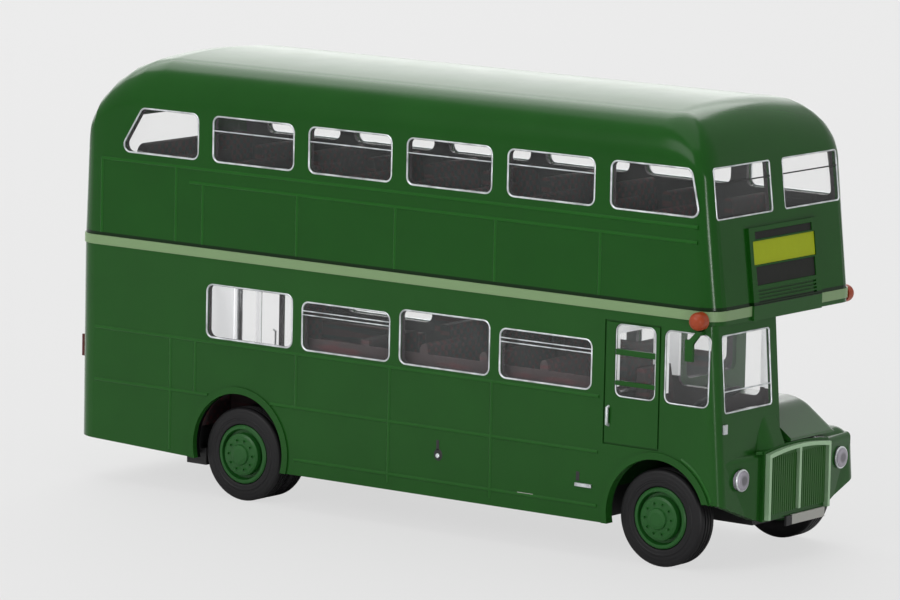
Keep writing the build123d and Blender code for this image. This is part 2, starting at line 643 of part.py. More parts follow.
with BuildPart() as lower_body:
    extrude(plan_outline(SKIRT_Z, BULKHEAD_X, 0.0, 0.0), amount=CANOPY_Z - SKIRT_Z)
    extrude(plan_outline(CANOPY_Z, UPPER_FRONT_X, 0.0), amount=SPLIT_Z - CANOPY_Z)
    add(cab.part)
    add(wing.part)
    add(lamp_panels.part)
    add(cowl.part)
    with BuildSketch(Plane.YZ.offset(VALANCE_X)):
        grille_outline(GRILLE_HALF - NOSE_HALF)
    extrude(amount=NOSE_X - VALANCE_X)
    # Lips around the wheel arches, cut off level with the skirt and the valance
    for side in (-1, 1):
        with BuildSketch(Plane.XZ.offset(-side * HALF_WIDTH)):
            arch_circles(ARCH_RADIUS + LIP_WIDTH)
            frame_between((BODY_REAR_X, NOSE_X), (-TYRE_RADIUS, SKIRT_Z), mode=Mode.SUBTRACT)
        extrude(amount=-side * LIP_PROUD)
    # Saloon cavity, the ledge that carries the upper floor, and the canopy's inside
    saloon = plan_outline(SKIRT_Z, BULKHEAD_X, WALL, 0.0)
    extrude(saloon, amount=CANOPY_Z - SKIRT_Z, mode=Mode.SUBTRACT)
    saloon_head = plan_outline(CANOPY_Z, BULKHEAD_X, WALL + LEDGE_DEPTH, 0.0)
    extrude(saloon_head, amount=CANOPY_DEPTH, mode=Mode.SUBTRACT)
    canopy_inside = plan_outline(CANOPY_Z + CANOPY_SKIN, UPPER_FRONT_X, WALL + LEDGE_DEPTH)
    extrude(canopy_inside, amount=CANOPY_DEPTH - CANOPY_SKIN, mode=Mode.SUBTRACT)
    floor_seat = plan_outline(LEDGE_Z, UPPER_FRONT_X, WALL)
    extrude(floor_seat, amount=LEDGE_DROP, mode=Mode.SUBTRACT)
    # Cab cavity above its floor, and the wheelhouse below it
    side_profile(
        (
            (BULKHEAD_X, CAB_FLOOR_Z),
            (cab_x(CAB_FLOOR_Z) - WALL, CAB_FLOOR_Z),
            (cab_x(CANOPY_Z) - WALL, CANOPY_Z + CANOPY_SKIN),
            (BULKHEAD_X, CANOPY_Z + CANOPY_SKIN),
        ),
        -INNER_HALF,
        CAB_INNER_Y - CAB_INNER_WALL,
        Mode.SUBTRACT,
    )
    side_profile(
        (
            (BULKHEAD_X - WALL, 0),
            (WHEELHOUSE_X, 0),
            (WHEELHOUSE_X, WHEELHOUSE_Z),
            (BULKHEAD_X, WHEELHOUSE_Z),
            (BULKHEAD_X, PAN_TOP_Z),
            (BULKHEAD_X - WALL, PAN_TOP_Z),
        ),
        -INNER_HALF,
        INNER_HALF,
        Mode.SUBTRACT,
    )
    for side in (-1, 1):
        with BuildSketch(Plane.XZ.offset(-side * INNER_HALF)):
            arch_circles(ARCH_RADIUS)
        extrude(amount=-side * (WALL + LIP_PROUD), mode=Mode.SUBTRACT)
    # Valance: the front's lower edge rises from the nose to the wings
    with BuildSketch(Plane.YZ.offset(VALANCE_X)):
        Polygon(
            (-BODY_WIDTH, 0),
            (-BODY_WIDTH, VALANCE_OUTER_Z),
            (-HALF_WIDTH, VALANCE_OUTER_Z),
            (-NOSE_HALF, VALANCE_INNER_Z),
            (NOSE_HALF, VALANCE_INNER_Z),
            (HALF_WIDTH, VALANCE_OUTER_Z),
            (BODY_WIDTH, VALANCE_OUTER_Z),
            (BODY_WIDTH, 0),
            align=None,
        )
    extrude(amount=NOSE_X, mode=Mode.SUBTRACT)
    tail_wedge(0.0)
    # Shut line round the cab door
    with BuildSketch(Plane.XZ.offset(HALF_WIDTH - SHUT_LINE_DEPTH)):
        shut_x = (CAB_DOOR_X[0] - SHUT_LINE_REAR, CAB_DOOR_X[1] + SHUT_LINE_FRONT)
        shut_z = (CAB_WINDOW_Z[0] - SHUT_LINE_FOOT, CAB_WINDOW_Z[1] + SHUT_LINE_HEAD)
        frame_between(shut_x, shut_z)
        frame_between(shut_x, shut_z, SHUT_LINE, mode=Mode.SUBTRACT)
    extrude(amount=2 * SHUT_LINE_DEPTH, mode=Mode.SUBTRACT)
    # Windows of the saloon, the cab, the bulkhead and the rear
    with BuildSketch(Plane.XZ) as saloon_openings:
        lower_side_windows(saloon_openings, 0.0)
    extrude(amount=HALF_WIDTH, both=True, mode=Mode.SUBTRACT)
    with BuildSketch(Plane.XZ.offset(INNER_HALF - WALL)):
        cab_side_windows(0.0)
    extrude(amount=2 * WALL, mode=Mode.SUBTRACT)
    with BuildSketch(Plane.XZ.offset(-CAB_INNER_Y - WALL)):
        frame_between(CAB_INNER_X, CAB_WINDOW_Z, 0.0, WINDOW_CORNER)
    extrude(amount=3 * WALL, mode=Mode.SUBTRACT)
    with BuildSketch(Plane.YZ.offset(VALANCE_X - WALL)):
        frame_between(SCREEN_Y, SCREEN_Z, 0.0, FRONT_WINDOW_CORNER)
    extrude(amount=VALANCE_DEPTH + 2 * WALL, mode=Mode.SUBTRACT)
    with BuildSketch(Plane.YZ.offset(BULKHEAD_X - 2 * WALL)):
        bulkhead_windows(0.0)
    extrude(amount=3 * WALL, mode=Mode.SUBTRACT)
    with BuildSketch(Plane.YZ.offset(BODY_REAR_X - WALL)):
        frame_between(PLATFORM_WINDOW_Y, (LOWER_SILL_Z, LOWER_HEAD_Z), 0.0, WINDOW_CORNER)
    extrude(amount=3 * WALL, mode=Mode.SUBTRACT)
    # Platform doorway in the nearside rear
    with BuildSketch(Plane.XZ.offset(WALL - INNER_HALF)):
        frame_between(DOORWAY_X, DOORWAY_Z)
    extrude(amount=-3 * WALL, mode=Mode.SUBTRACT)
    # Pockets for the headlamps and the rear lamps
    with BuildSketch(Plane.YZ.offset(cab_x(HEADLAMP_Z) - HEADLAMP_DEPTH)):
        with Locations((-HEADLAMP_Y, HEADLAMP_Z), (HEADLAMP_Y, HEADLAMP_Z)):
            Circle(HEADLAMP_RADIUS + FIT_GAP)
    extrude(amount=NOSE_X - VALANCE_X, mode=Mode.SUBTRACT)
    with BuildSketch(Plane.YZ.offset(BODY_REAR_X + REAR_LAMP_DEPTH - REAR_LAMP_PROUD)):
        with Locations((-REAR_LAMP_Y, REAR_LAMP_Z), (REAR_LAMP_Y, REAR_LAMP_Z)):
            Rectangle(REAR_LAMP_WIDTH + 2 * FIT_GAP, REAR_LAMP_HEIGHT + 2 * FIT_GAP)
    extrude(amount=-2 * REAR_LAMP_DEPTH, mode=Mode.SUBTRACT)
save(lower_body.part, "lower_body")

# Waistband: a thin raised strip round the top of the lower deck, broken by the blind box
band_low_z = SPLIT_Z - BAND_TOP_GAP - BAND_HEIGHT
with BuildPart() as waistband:
    extrude(plan_outline(band_low_z, UPPER_FRONT_X, -BAND_PROUD), amount=BAND_HEIGHT)
    extrude(plan_outline(band_low_z, UPPER_FRONT_X, 0.0), amount=BAND_HEIGHT, mode=Mode.SUBTRACT)
    with BuildSketch(Plane.YZ):
        across = BLIND_WIDTH / 2 + FIT_GAP
        frame_between((-across, across), (band_low_z, SPLIT_Z))
    extrude(amount=LENGTH, mode=Mode.SUBTRACT)
save(waistband.part, "waistband")

# Bonnet over the engine, on the nearside of the cab
with BuildPart() as bonnet:
    bonnet_top_z = WING_Z + BONNET_HEIGHT
    side_profile(
        (
            (BULKHEAD_X + BONNET_GAP, WING_Z),
            (VALANCE_X - BONNET_GAP, WING_Z),
            (VALANCE_X - BONNET_GAP, NOSE_CREST_Z + FIT_GAP),
            (NOSE_X, NOSE_CREST_Z + FIT_GAP),
            (NOSE_X, NOSE_CREST_Z + BONNET_NOSE_RISE),
            (NOSE_X - BONNET_BROW, bonnet_top_z),
            (BULKHEAD_X + BONNET_GAP, bonnet_top_z),
        ),
        CAB_INNER_Y + BONNET_GAP,
        BONNET_OUTER_Y,
    )
    brow = bonnet.edges().filter_by(Axis.Y).group_by(Axis.Z)[-1].sort_by(Axis.X)[-1]
    fillet(brow, radius=BONNET_BEND)
    outer_face = bonnet.faces().sort_by(Axis.Y)[-1]
    over_top = outer_face.edges().filter_by(lambda edge: edge.center().Z > WING_Z + BONNET_EDGE / 2)
    fillet(over_top.filter_by(lambda edge: edge.bounding_box().size.X > BONNET_EDGE), radius=BONNET_EDGE)
save(bonnet.part, "bonnet")

# Radiator grille: upright slats on a backing, in a bright frame open at its foot
slat_field = 2 * (GRILLE_HALF - GRILLE_BAR - FIT_GAP)
slat_pitch = slat_field / (SLATS + 1)
slat_z = (GRILLE_LOW_Z + GRILLE_BAR + FIT_GAP, NOSE_TOP_Z - GRILLE_BAR - FIT_GAP)
with BuildPart() as radiator_grille:
    with BuildSketch(Plane.YZ.offset(NOSE_X)):
        grille_outline(GRILLE_BAR + FIT_GAP)
    extrude(amount=GRILLE_BACKING)
    with BuildSketch(Plane.YZ.offset(NOSE_X)):
        with Locations((0, (slat_z[0] + slat_z[1]) / 2)):
            with GridLocations(slat_pitch, 1, SLATS, 1):
                Rectangle(slat_pitch / 2, slat_z[1] - slat_z[0])
    extrude(amount=GRILLE_BACKING + GRILLE_SLAT_PROUD)
    with BuildSketch(Plane.YZ.offset(NOSE_X)):
        centre_slot = GRILLE_BAR / 2 + FIT_GAP
        frame_between((-centre_slot, centre_slot), (GRILLE_LOW_Z, NOSE_TOP_Z + NOSE_ARCH))
    extrude(amount=GRILLE_DEPTH, mode=Mode.SUBTRACT)
save(radiator_grille.part, "radiator_grille")

with BuildPart() as radiator_frame:
    with BuildSketch(Plane.YZ.offset(NOSE_X)):
        grille_outline(0.0)
    extrude(amount=GRILLE_DEPTH)
    with BuildSketch(Plane.YZ.offset(NOSE_X)):
        grille_outline(GRILLE_BAR)
        inner_half = GRILLE_HALF - GRILLE_BAR
        frame_between((-inner_half, inner_half), (GRILLE_LOW_Z, NOSE_TOP_Z - GRILLE_BAR))
    extrude(amount=GRILLE_DEPTH, mode=Mode.SUBTRACT)
    with BuildSketch(Plane.YZ.offset(NOSE_X)):
        centre_z = (GRILLE_LOW_Z + GRILLE_CENTRE_FOOT, NOSE_TOP_Z + NOSE_ARCH / 2)
        frame_between((-GRILLE_BAR / 2, GRILLE_BAR / 2), centre_z)
    extrude(amount=GRILLE_DEPTH)
save(radiator_frame.part, "radiator_frame")


# Glazing: clear mouldings with a web inside the wall and panes that fill the openings
def side_glazing(side, web_x, web_z, openings):
    """One side's clear moulding: a flat web against the wall and its raised panes."""
    inner_y = INNER_HALF - FIT_GAP - GLAZING_WEB
    with BuildPart() as moulding:
        with BuildSketch(Plane.XZ.offset(-side * inner_y)):
            frame_between(web_x, web_z)
        extrude(amount=-side * GLAZING_WEB)
        with BuildSketch(Plane.XZ.offset(-side * inner_y)) as panes:
            openings(panes, FIT_GAP)
        extrude(amount=-side * (HALF_WIDTH - PANE_RECESS - inner_y))
    return moulding.part


upper_web_x = (BODY_REAR_X + UPPER_WEB_REAR, UPPER_FRONT_X - UPPER_WEB_FRONT)
upper_web_z = (UPPER_SILL_Z - GLAZING_LAP, UPPER_HEAD_Z + UPPER_WEB_LAP)
lower_rear_x = LOWER_EDGE_X - lower_bays * BAY + LOWER_PILLAR
lower_web_x = (lower_rear_x - GLAZING_LAP, BULKHEAD_X - WALL - SEAT_GAP)
lower_web_z = (LOWER_SILL_Z - GLAZING_LAP, LOWER_HEAD_Z + GLAZING_LAP)
for side_name, side in (("offside", -1), ("nearside", 1)):
    save(side_glazing(side, upper_web_x, upper_web_z, upper_side_windows), f"upper_glazing_{side_name}")
    save(side_glazing(side, lower_web_x, lower_web_z, lower_side_windows), f"lower_glazing_{side_name}")

with BuildPart() as front_glazing:
    with BuildSketch(FRONT_FACE.offset(-PANE_RECESS)):
        upper_front_windows(FIT_GAP)
    extrude(amount=-PANE_THICKNESS)
save(front_glazing.part, "front_glazing")

with BuildPart() as rear_glazing:
    with BuildSketch(Plane.YZ.offset(BODY_REAR_X + PANE_RECESS)):
        frame_between(PLATFORM_WINDOW_Y, (LOWER_SILL_Z, LOWER_HEAD_Z), FIT_GAP, WINDOW_CORNER)
    extrude(amount=PANE_THICKNESS)
    with BuildSketch(Plane.YZ.offset(BODY_REAR_X + REAR_LEAN + 2 * PANE_RECESS)):
        frame_between(REAR_WINDOW_Y, REAR_WINDOW_Z, FIT_GAP, WINDOW_CORNER)
    extrude(amount=PANE_THICKNESS)
save(rear_glazing.part, "rear_glazing")

with BuildPart() as cab_glazing:
    with BuildSketch(Plane.XZ.offset(HALF_WIDTH - PANE_RECESS - PANE_THICKNESS)):
        cab_side_windows(FIT_GAP)
    extrude(amount=PANE_THICKNESS)
    with BuildSketch(Plane.XZ.offset(-CAB_INNER_Y)):
        frame_between(CAB_INNER_X, CAB_WINDOW_Z, FIT_GAP, WINDOW_CORNER)
    extrude(amount=CAB_INNER_WALL - PANE_RECESS)
    with BuildSketch(Plane.YZ.offset(BULKHEAD_X - PANE_RECESS - PANE_THICKNESS)):
        bulkhead_windows(FIT_GAP)
    extrude(amount=PANE_THICKNESS)
save(cab_glazing.part, "cab_glazing")

with BuildPart() as windscreen:
    low, high = SCREEN_Z[0] + FIT_GAP, SCREEN_Z[1] - FIT_GAP
    back = PANE_RECESS + PANE_THICKNESS
    side_profile(
        (
            (cab_x(low) - back, low),
            (cab_x(low) - PANE_RECESS, low),
            (cab_x(high) - PANE_RECESS, high),
            (cab_x(high) - back, high),
        ),
        SCREEN_Y[0] + FIT_GAP,
        SCREEN_Y[1] - FIT_GAP,
    )
    fillet(windscreen.edges().filter_by(Axis.X), radius=FRONT_WINDOW_CORNER)
save(windscreen.part, "windscreen")

# Platform doors: folding leaves, each a frame around its glass
leaf_width = (DOORWAY_X[1] - DOORWAY_X[0] - 2 * SEAT_GAP) / DOOR_LEAVES


def leaf_glass(gap):
    """Draws the glass of every door leaf."""
    for leaf in range(DOOR_LEAVES):
        start = DOORWAY_X[0] + SEAT_GAP + leaf * leaf_width
        across = (start + DOOR_STILE, start + leaf_width - DOOR_STILE)
        frame_between(across, DOOR_GLASS_Z, gap, DOOR_CORNER)


with BuildPart() as platform_doors:
    with BuildSketch(Plane.XZ.offset(-INNER_HALF)):
        frame_between(DOORWAY_X, DOORWAY_Z, SEAT_GAP)
    extrude(amount=-DOOR_THICKNESS)
    with BuildSketch(Plane.XZ.offset(-INNER_HALF)):
        leaf_glass(0.0)
    extrude(amount=-DOOR_THICKNESS, mode=Mode.SUBTRACT)
save(platform_doors.part, "platform_doors")

with BuildPart() as door_glass:
    with BuildSketch(Plane.XZ.offset(-INNER_HALF - PANE_RECESS)):
        leaf_glass(FIT_GAP)
    extrude(amount=2 * PANE_RECESS - DOOR_THICKNESS)
save(door_glass.part, "door_glass")


# Decks: each floor and its rows of double seats are one moulding
def seat_rows(floor_z, back_height, first_x, last_x, blocked_x):
    """Adds rows of seats on both sides of the gangway, but none over a stairwell on the offside."""
    rows = int((first_x - last_x) / SEAT_PITCH) + 1
    for row in range(rows):
        back_x = first_x - row * SEAT_PITCH
        profile = (
            (back_x, floor_z),
            (back_x + CUSHION_LENGTH, floor_z),
            (back_x + CUSHION_LENGTH, floor_z + CUSHION_HEIGHT),
            (back_x + BACK_THICKNESS, floor_z + CUSHION_HEIGHT - CUSHION_DIP),
            (back_x + BACK_THICKNESS - BACK_LEAN, floor_z + back_height),
            (back_x - BACK_LEAN, floor_z + back_height),
        )
        side_profile(profile, SEAT_INNER_Y, SEAT_OUTER_Y)
        if back_x - BACK_LEAN > blocked_x:
            side_profile(profile, -SEAT_OUTER_Y, -SEAT_INNER_Y)


with BuildPart() as upper_deck:
    extrude(plan_outline(LEDGE_Z, UPPER_FRONT_X, WALL + 2 * SEAT_GAP), amount=FLOOR)
    with BuildSketch(Plane.XY.offset(LEDGE_Z)):
        frame_between(STAIR_X, (STAIR_OUTER_Y, STAIR_OUTER_Y + STAIR_WIDTH))
    extrude(amount=FLOOR, mode=Mode.SUBTRACT)
    first_row_x, last_row_x = UPPER_FRONT_X - UPPER_LEGROOM, BODY_REAR_X + REAR_BENCH
    seat_rows(UPPER_FLOOR_Z, UPPER_BACK_HEIGHT, first_row_x, last_row_x, STAIR_X[1])
save(upper_deck.part, "upper_deck")

with BuildPart() as lower_deck:
    extrude(plan_outline(PAN_TOP_Z, BULKHEAD_X, WALL + SEAT_GAP, 0.0), amount=FLOOR)
    first_row_x, last_row_x = BULKHEAD_X - LOWER_LEGROOM, WHEELBOX_X[1] + CUSHION_LENGTH
    seat_rows(FLOOR_Z, LOWER_BACK_HEIGHT, first_row_x, last_row_x, REAR_AXLE_X)
    # Wheel boxes over the rear wheels carry the long seats
    for side in (-1, 1):
        box_y = sorted((side * WHEELBOX_INNER_Y, side * (INNER_HALF - SEAT_GAP)))
        hollow_y = sorted((side * (WHEELBOX_INNER_Y + WHEELBOX_SKIN), side * HALF_WIDTH))
        back_y = sorted((side * (SEAT_OUTER_Y - LONG_SEAT_BACK), side * SEAT_OUTER_Y))
        with BuildSketch(Plane.XY.offset(PAN_TOP_Z)):
            frame_between(WHEELBOX_X, box_y)
        extrude(amount=WHEELBOX_Z - PAN_TOP_Z)
        with BuildSketch(Plane.XY.offset(PAN_TOP_Z)):
            frame_between((WHEELBOX_X[0] + WHEELBOX_SKIN, WHEELBOX_X[1] - WHEELBOX_SKIN), hollow_y)
        extrude(amount=WHEELBOX_Z - WHEELBOX_SKIN - PAN_TOP_Z, mode=Mode.SUBTRACT)
        with BuildSketch(Plane.XY.offset(WHEELBOX_Z)):
            frame_between(WHEELBOX_X, back_y)
        extrude(amount=LONG_SEAT_RISE)
save(lower_deck.part, "lower_deck")

with BuildPart() as staircase:
    tread = STAIR_LENGTH / STEPS
    riser = (LEDGE_Z - STAIR_HEADROOM - FLOOR_Z) / STEPS
    outline = [(STAIR_X[0], FLOOR_Z)]
    for step in range(STEPS):
        nose_x = STAIR_X[1] - step * tread
        outline.append((nose_x, FLOOR_Z + step * riser))
        outline.append((nose_x, FLOOR_Z + (step + 1) * riser))
    outline.append((STAIR_X[0], FLOOR_Z + STEPS * riser))
    side_profile(outline, STAIR_OUTER_Y, STAIR_OUTER_Y + STAIR_WIDTH)
save(staircase.part, "staircase")

with BuildPart() as platform_pole:
    with BuildSketch(Plane.XY.offset(FLOOR_Z)):
        with Locations((BODY_REAR_X + POLE_FROM_REAR, POLE_Y)):
            Circle(POLE_RADIUS)
    extrude(amount=LEDGE_Z - FLOOR_Z)
save(platform_pole.part, "platform_pole")

# Driver's seat and steering wheel on the cab floor
cab_centre_y = (CAB_INNER_Y - CAB_INNER_WALL - INNER_HALF) / 2
with BuildPart() as driver_seat:
    back_x = BULKHEAD_X + DRIVER_SEAT_GAP
    side_profile(
        (
            (back_x, CAB_FLOOR_Z),
            (back_x + DRIVER_SEAT_LENGTH, CAB_FLOOR_Z),
            (back_x + DRIVER_SEAT_LENGTH, CAB_FLOOR_Z + DRIVER_CUSHION),
            (back_x + 2 * DRIVER_BACK_THICKNESS, CAB_FLOOR_Z + DRIVER_CUSHION),
            (back_x + DRIVER_BACK_THICKNESS, CAB_FLOOR_Z + DRIVER_BACK),
            (back_x, CAB_FLOOR_Z + DRIVER_BACK),
        ),
        cab_centre_y - DRIVER_SEAT_WIDTH / 2,
        cab_centre_y + DRIVER_SEAT_WIDTH / 2,
    )
save(driver_seat.part, "driver_seat")

steering_hub = (CAB_HEAD_X - STEERING_SETBACK, cab_centre_y, CAB_FLOOR_Z + STEERING_HEIGHT)
steering_axis = (-sin(radians(STEERING_TILT)), 0, cos(radians(STEERING_TILT)))
steering_plane = Plane(steering_hub, x_dir=(0, 1, 0), z_dir=steering_axis)
column_length = STEERING_HEIGHT / cos(radians(STEERING_TILT)) - COLUMN_RADIUS
with BuildPart() as steering_wheel:
    with BuildSketch(Plane(steering_hub, x_dir=(0, 1, 0), z_dir=steering_plane.y_dir)):
        with Locations((STEERING_RADIUS, 0)):
            Circle(STEERING_RIM)
    revolve(axis=Axis(steering_hub, steering_axis))
    with BuildSketch(steering_plane.offset(-STEERING_RIM / 2)):
        Circle(STEERING_BOSS)
        with PolarLocations(STEERING_RADIUS / 2, 3, start_angle=90):
            Rectangle(STEERING_RADIUS, STEERING_SPOKE)
    extrude(amount=STEERING_RIM)
    with BuildSketch(steering_plane):
        Circle(COLUMN_RADIUS)
    extrude(amount=-column_length)
save(steering_wheel.part, "steering_wheel")

# Chassis: a pan inside the skirt, the engine frame ahead of it, axle bores and a flat pad
# Underside blocks: x from and to, measured from the rear axle; y from and to; drop below the pan
UNDERSIDE = {
    "axle_casing": (-2.9, 2.9, -2.6, 2.6, 1.3),
    "propeller_shaft": (2.9, 9.6, -0.7, 0.7, 0.6),
    "gearbox": (38.6, 45.6, -2.4, 2.4, 0.8),
    "fuel_tank": (35.6, 47.6, 6.0, 10.6, 0.8),
    "battery_box": (35.6, 45.6, -10.6, -6.4, 0.7),
}
with BuildPart() as chassis:
    extrude(plan_outline(CHASSIS_Z, BULKHEAD_X, WALL + SEAT_GAP, 0.0), amount=PAN_TOP_Z - CHASSIS_Z)
    with BuildSketch(Plane.XY.offset(CHASSIS_Z)):
        frame_between(WHEELBOX_X, (-HALF_WIDTH, HALF_WIDTH))
        frame_between(WHEELBOX_X, (-REAR_FRAME_HALF, REAR_FRAME_HALF), mode=Mode.SUBTRACT)
    extrude(amount=PAN_TOP_Z - CHASSIS_Z, mode=Mode.SUBTRACT)
    with BuildSketch(Plane.XY.offset(CHASSIS_Z)):
        frame_between((BULKHEAD_X - 2 * WALL, WHEELHOUSE_X - FRAME_NOSE_GAP), (-FRAME_HALF, FRAME_HALF))
    extrude(amount=PAN_TOP_Z - CHASSIS_Z)
    with BuildSketch(Plane.XY.offset(PAD_Z)):
        Rectangle(PAD_LENGTH, PAD_WIDTH)
    extrude(amount=PAD_DEPTH)
    for x_from, x_to, y_from, y_to, drop in UNDERSIDE.values():
        with BuildSketch(Plane.XY.offset(CHASSIS_Z - drop)):
            frame_between((REAR_AXLE_X + x_from, REAR_AXLE_X + x_to), (y_from, y_to))
        extrude(amount=drop)
    tail_wedge(SKIRT_DROP)
    flap_x = (WHEELBOX_X[0] + FLAP_LAP - FLAP_LENGTH, WHEELBOX_X[0] + FLAP_LAP)
    flap_y = INNER_HALF - SEAT_GAP - FLAP_INSET - FLAP_WIDTH
    for side in (-1, 1):
        with BuildSketch(Plane.XY.offset(CHASSIS_Z - FLAP_DROP)):
            across = sorted((side * flap_y, side * (flap_y + FLAP_WIDTH)))
            frame_between(flap_x, across)
        extrude(amount=FLAP_DROP + TAIL_RISE)
    with BuildSketch(Plane.XZ):
        with Locations((FRONT_AXLE_X, AXLE_Z), (REAR_AXLE_X, AXLE_Z)):
            Circle(AXLE_RADIUS + AXLE_CLEARANCE)
    extrude(amount=HALF_WIDTH, both=True, mode=Mode.SUBTRACT)
save(chassis.part, "chassis")


# Wheelsets: tyres and hubs turned about the axle, one axle with both its wheels
def turned(profile, axle_x, side):
    """Turns a profile of (radius, distance in from the wheel's outer face) about an axle."""
    with BuildPart() as piece:
        with BuildSketch(Plane.XY):
            with BuildLine():
                Polyline(*[(radius, side * (WHEEL_FACE_Y - depth)) for radius, depth in profile], close=True)
            make_face()
        revolve(axis=Axis.Y)
    return piece.part.moved(Location((axle_x, 0, AXLE_Z)))


def tyre_profile(start, width):
    """One tyre's section from its outer sidewall inwards."""
    bead = RIM_RADIUS + PRESS_GAP
    wall = TYRE_RADIUS - 2 * SIDEWALL
    edge = TYRE_RADIUS - SIDEWALL / 2
    return (
        (bead, start + SIDEWALL / 3),
        (bead + BEAD_STEP, start + SIDEWALL / 9),
        (wall, start),
        (edge, start + SIDEWALL / 6),
        (TYRE_RADIUS, start + SIDEWALL / 2),
        (TYRE_RADIUS, start + width - SIDEWALL / 2),
        (edge, start + width - SIDEWALL / 6),
        (wall, start + width),
        (bead, start + width - SIDEWALL / 3),
    )


def twin_profile():
    """Two tyres side by side, joined where their sidewalls meet."""
    outer = tyre_profile(0.0, REAR_TYRE_WIDTH)
    inner = tyre_profile(REAR_TYRE_WIDTH + TWIN_GAP, REAR_TYRE_WIDTH)
    return outer[:8] + inner[2:]


BORE = AXLE_RADIUS + PRESS_GAP
# Hub face: share of the rim's radius, distance in from the wheel's outer face
HUB_FACE = (
    (1.0, 0.12),
    (0.96, 0.0),
    (0.87, 0.0),
    (0.82, 0.55),
    (0.73, 0.55),
    (0.71, -0.2),
    (0.64, -0.35),
    (0.36, -0.4),
    (0.33, -0.62),
    (0.22, -0.7),
)


def hub_profile(width):
    """A hub's section: the bore, the seat for the tyre, the raised face and a closed cap."""
    face = tuple((share * RIM_RADIUS, depth) for share, depth in HUB_FACE)
    cap = ((0, HUB_FACE[-1][1]), (0, HUB_CAP))
    return ((BORE, HUB_CAP), (BORE, width), (RIM_RADIUS, width)) + face + cap


wheels = (
    ("front", FRONT_AXLE_X, tyre_profile(0.0, FRONT_TYRE_WIDTH), hub_profile(FRONT_TYRE_WIDTH)),
    ("rear", REAR_AXLE_X, twin_profile(), hub_profile(REAR_TREAD)),
)
for end, axle_x, tyre, hub in wheels:
    for side_name, side in (("offside", -1), ("nearside", 1)):
        save(turned(tyre, axle_x, side), f"{end}_tyre_{side_name}")
        save(turned(hub, axle_x, side), f"{end}_hub_{side_name}")
    with BuildPart() as axle:
        with BuildSketch(Plane.XZ):
            with Locations((axle_x, AXLE_Z)):
                Circle(AXLE_RADIUS)
        extrude(amount=WHEEL_FACE_Y - HUB_CAP - PRESS_GAP, both=True)
    save(axle.part, f"{end}_axle")

# Lamps: headlamps in their pockets, a sidelight, indicators on the canopy's corners, rear lamps
with BuildPart() as headlamps:
    with BuildSketch(Plane.YZ.offset(cab_x(HEADLAMP_Z) - HEADLAMP_DEPTH + FIT_GAP)):
        with Locations((-HEADLAMP_Y, HEADLAMP_Z), (HEADLAMP_Y, HEADLAMP_Z)):
            Circle(HEADLAMP_RADIUS)
    extrude(amount=HEADLAMP_DEPTH + LAMP_PANEL_SWEEP / 2 + HEADLAMP_PROUD)
    lens_edges = headlamps.faces().filter_by(Axis.X).group_by(Axis.X)[-1].edges()
    fillet(lens_edges, radius=HEADLAMP_PROUD)
save(headlamps.part, "headlamps")

with BuildPart() as sidelight:
    sidelight_z = SCREEN_Z[0] - SIDELIGHT_DROP
    with BuildSketch(Plane.YZ.offset(cab_x(sidelight_z) + FIT_GAP)):
        with Locations((SIDELIGHT_INSET - HALF_WIDTH, sidelight_z)):
            Rectangle(SIDELIGHT_WIDTH, SIDELIGHT_HEIGHT)
    extrude(amount=SIDELIGHT_PROUD)
save(sidelight.part, "sidelight")

with BuildPart() as indicators:
    for side in (-1, 1):
        with BuildSketch(Plane.XZ.offset(-side * (HALF_WIDTH + BAND_PROUD))):
            with Locations((UPPER_FRONT_X - INDICATOR_SETBACK, SPLIT_Z - INDICATOR_DROP)):
                Circle(INDICATOR_RADIUS)
        extrude(amount=-side * (INDICATOR_PROUD - BAND_PROUD))
    rims = indicators.edges().filter_by(GeomType.CIRCLE).sort_by(Axis.Y)
    fillet((rims[0], rims[-1]), radius=INDICATOR_PROUD / 2)
save(indicators.part, "indicators")

with BuildPart() as rear_lamps:
    with BuildSketch(Plane.YZ.offset(BODY_REAR_X - REAR_LAMP_PROUD)):
        with Locations((-REAR_LAMP_Y, REAR_LAMP_Z), (REAR_LAMP_Y, REAR_LAMP_Z)):
            Rectangle(REAR_LAMP_WIDTH, REAR_LAMP_HEIGHT)
    extrude(amount=REAR_LAMP_DEPTH - FIT_GAP)
save(rear_lamps.part, "rear_lamps")

# Blank number plates
with BuildPart() as front_plate:
    with BuildSketch(Plane.YZ.offset(NOSE_X)):
        with Locations((FRONT_PLATE_Y, GRILLE_LOW_Z - FIT_GAP - FRONT_PLATE_HEIGHT / 2)):
            Rectangle(FRONT_PLATE_WIDTH, FRONT_PLATE_HEIGHT)
    extrude(amount=PLATE_THICKNESS)
save(front_plate.part, "front_plate")

with BuildPart() as rear_plate:
    with BuildSketch(Plane.YZ.offset(BODY_REAR_X)):
        with Locations((REAR_PLATE_Y, SKIRT_Z + REAR_PLATE_RISE)):
            Rectangle(REAR_PLATE_WIDTH, REAR_PLATE_HEIGHT)
    extrude(amount=-PLATE_THICKNESS)
save(rear_plate.part, "rear_plate")

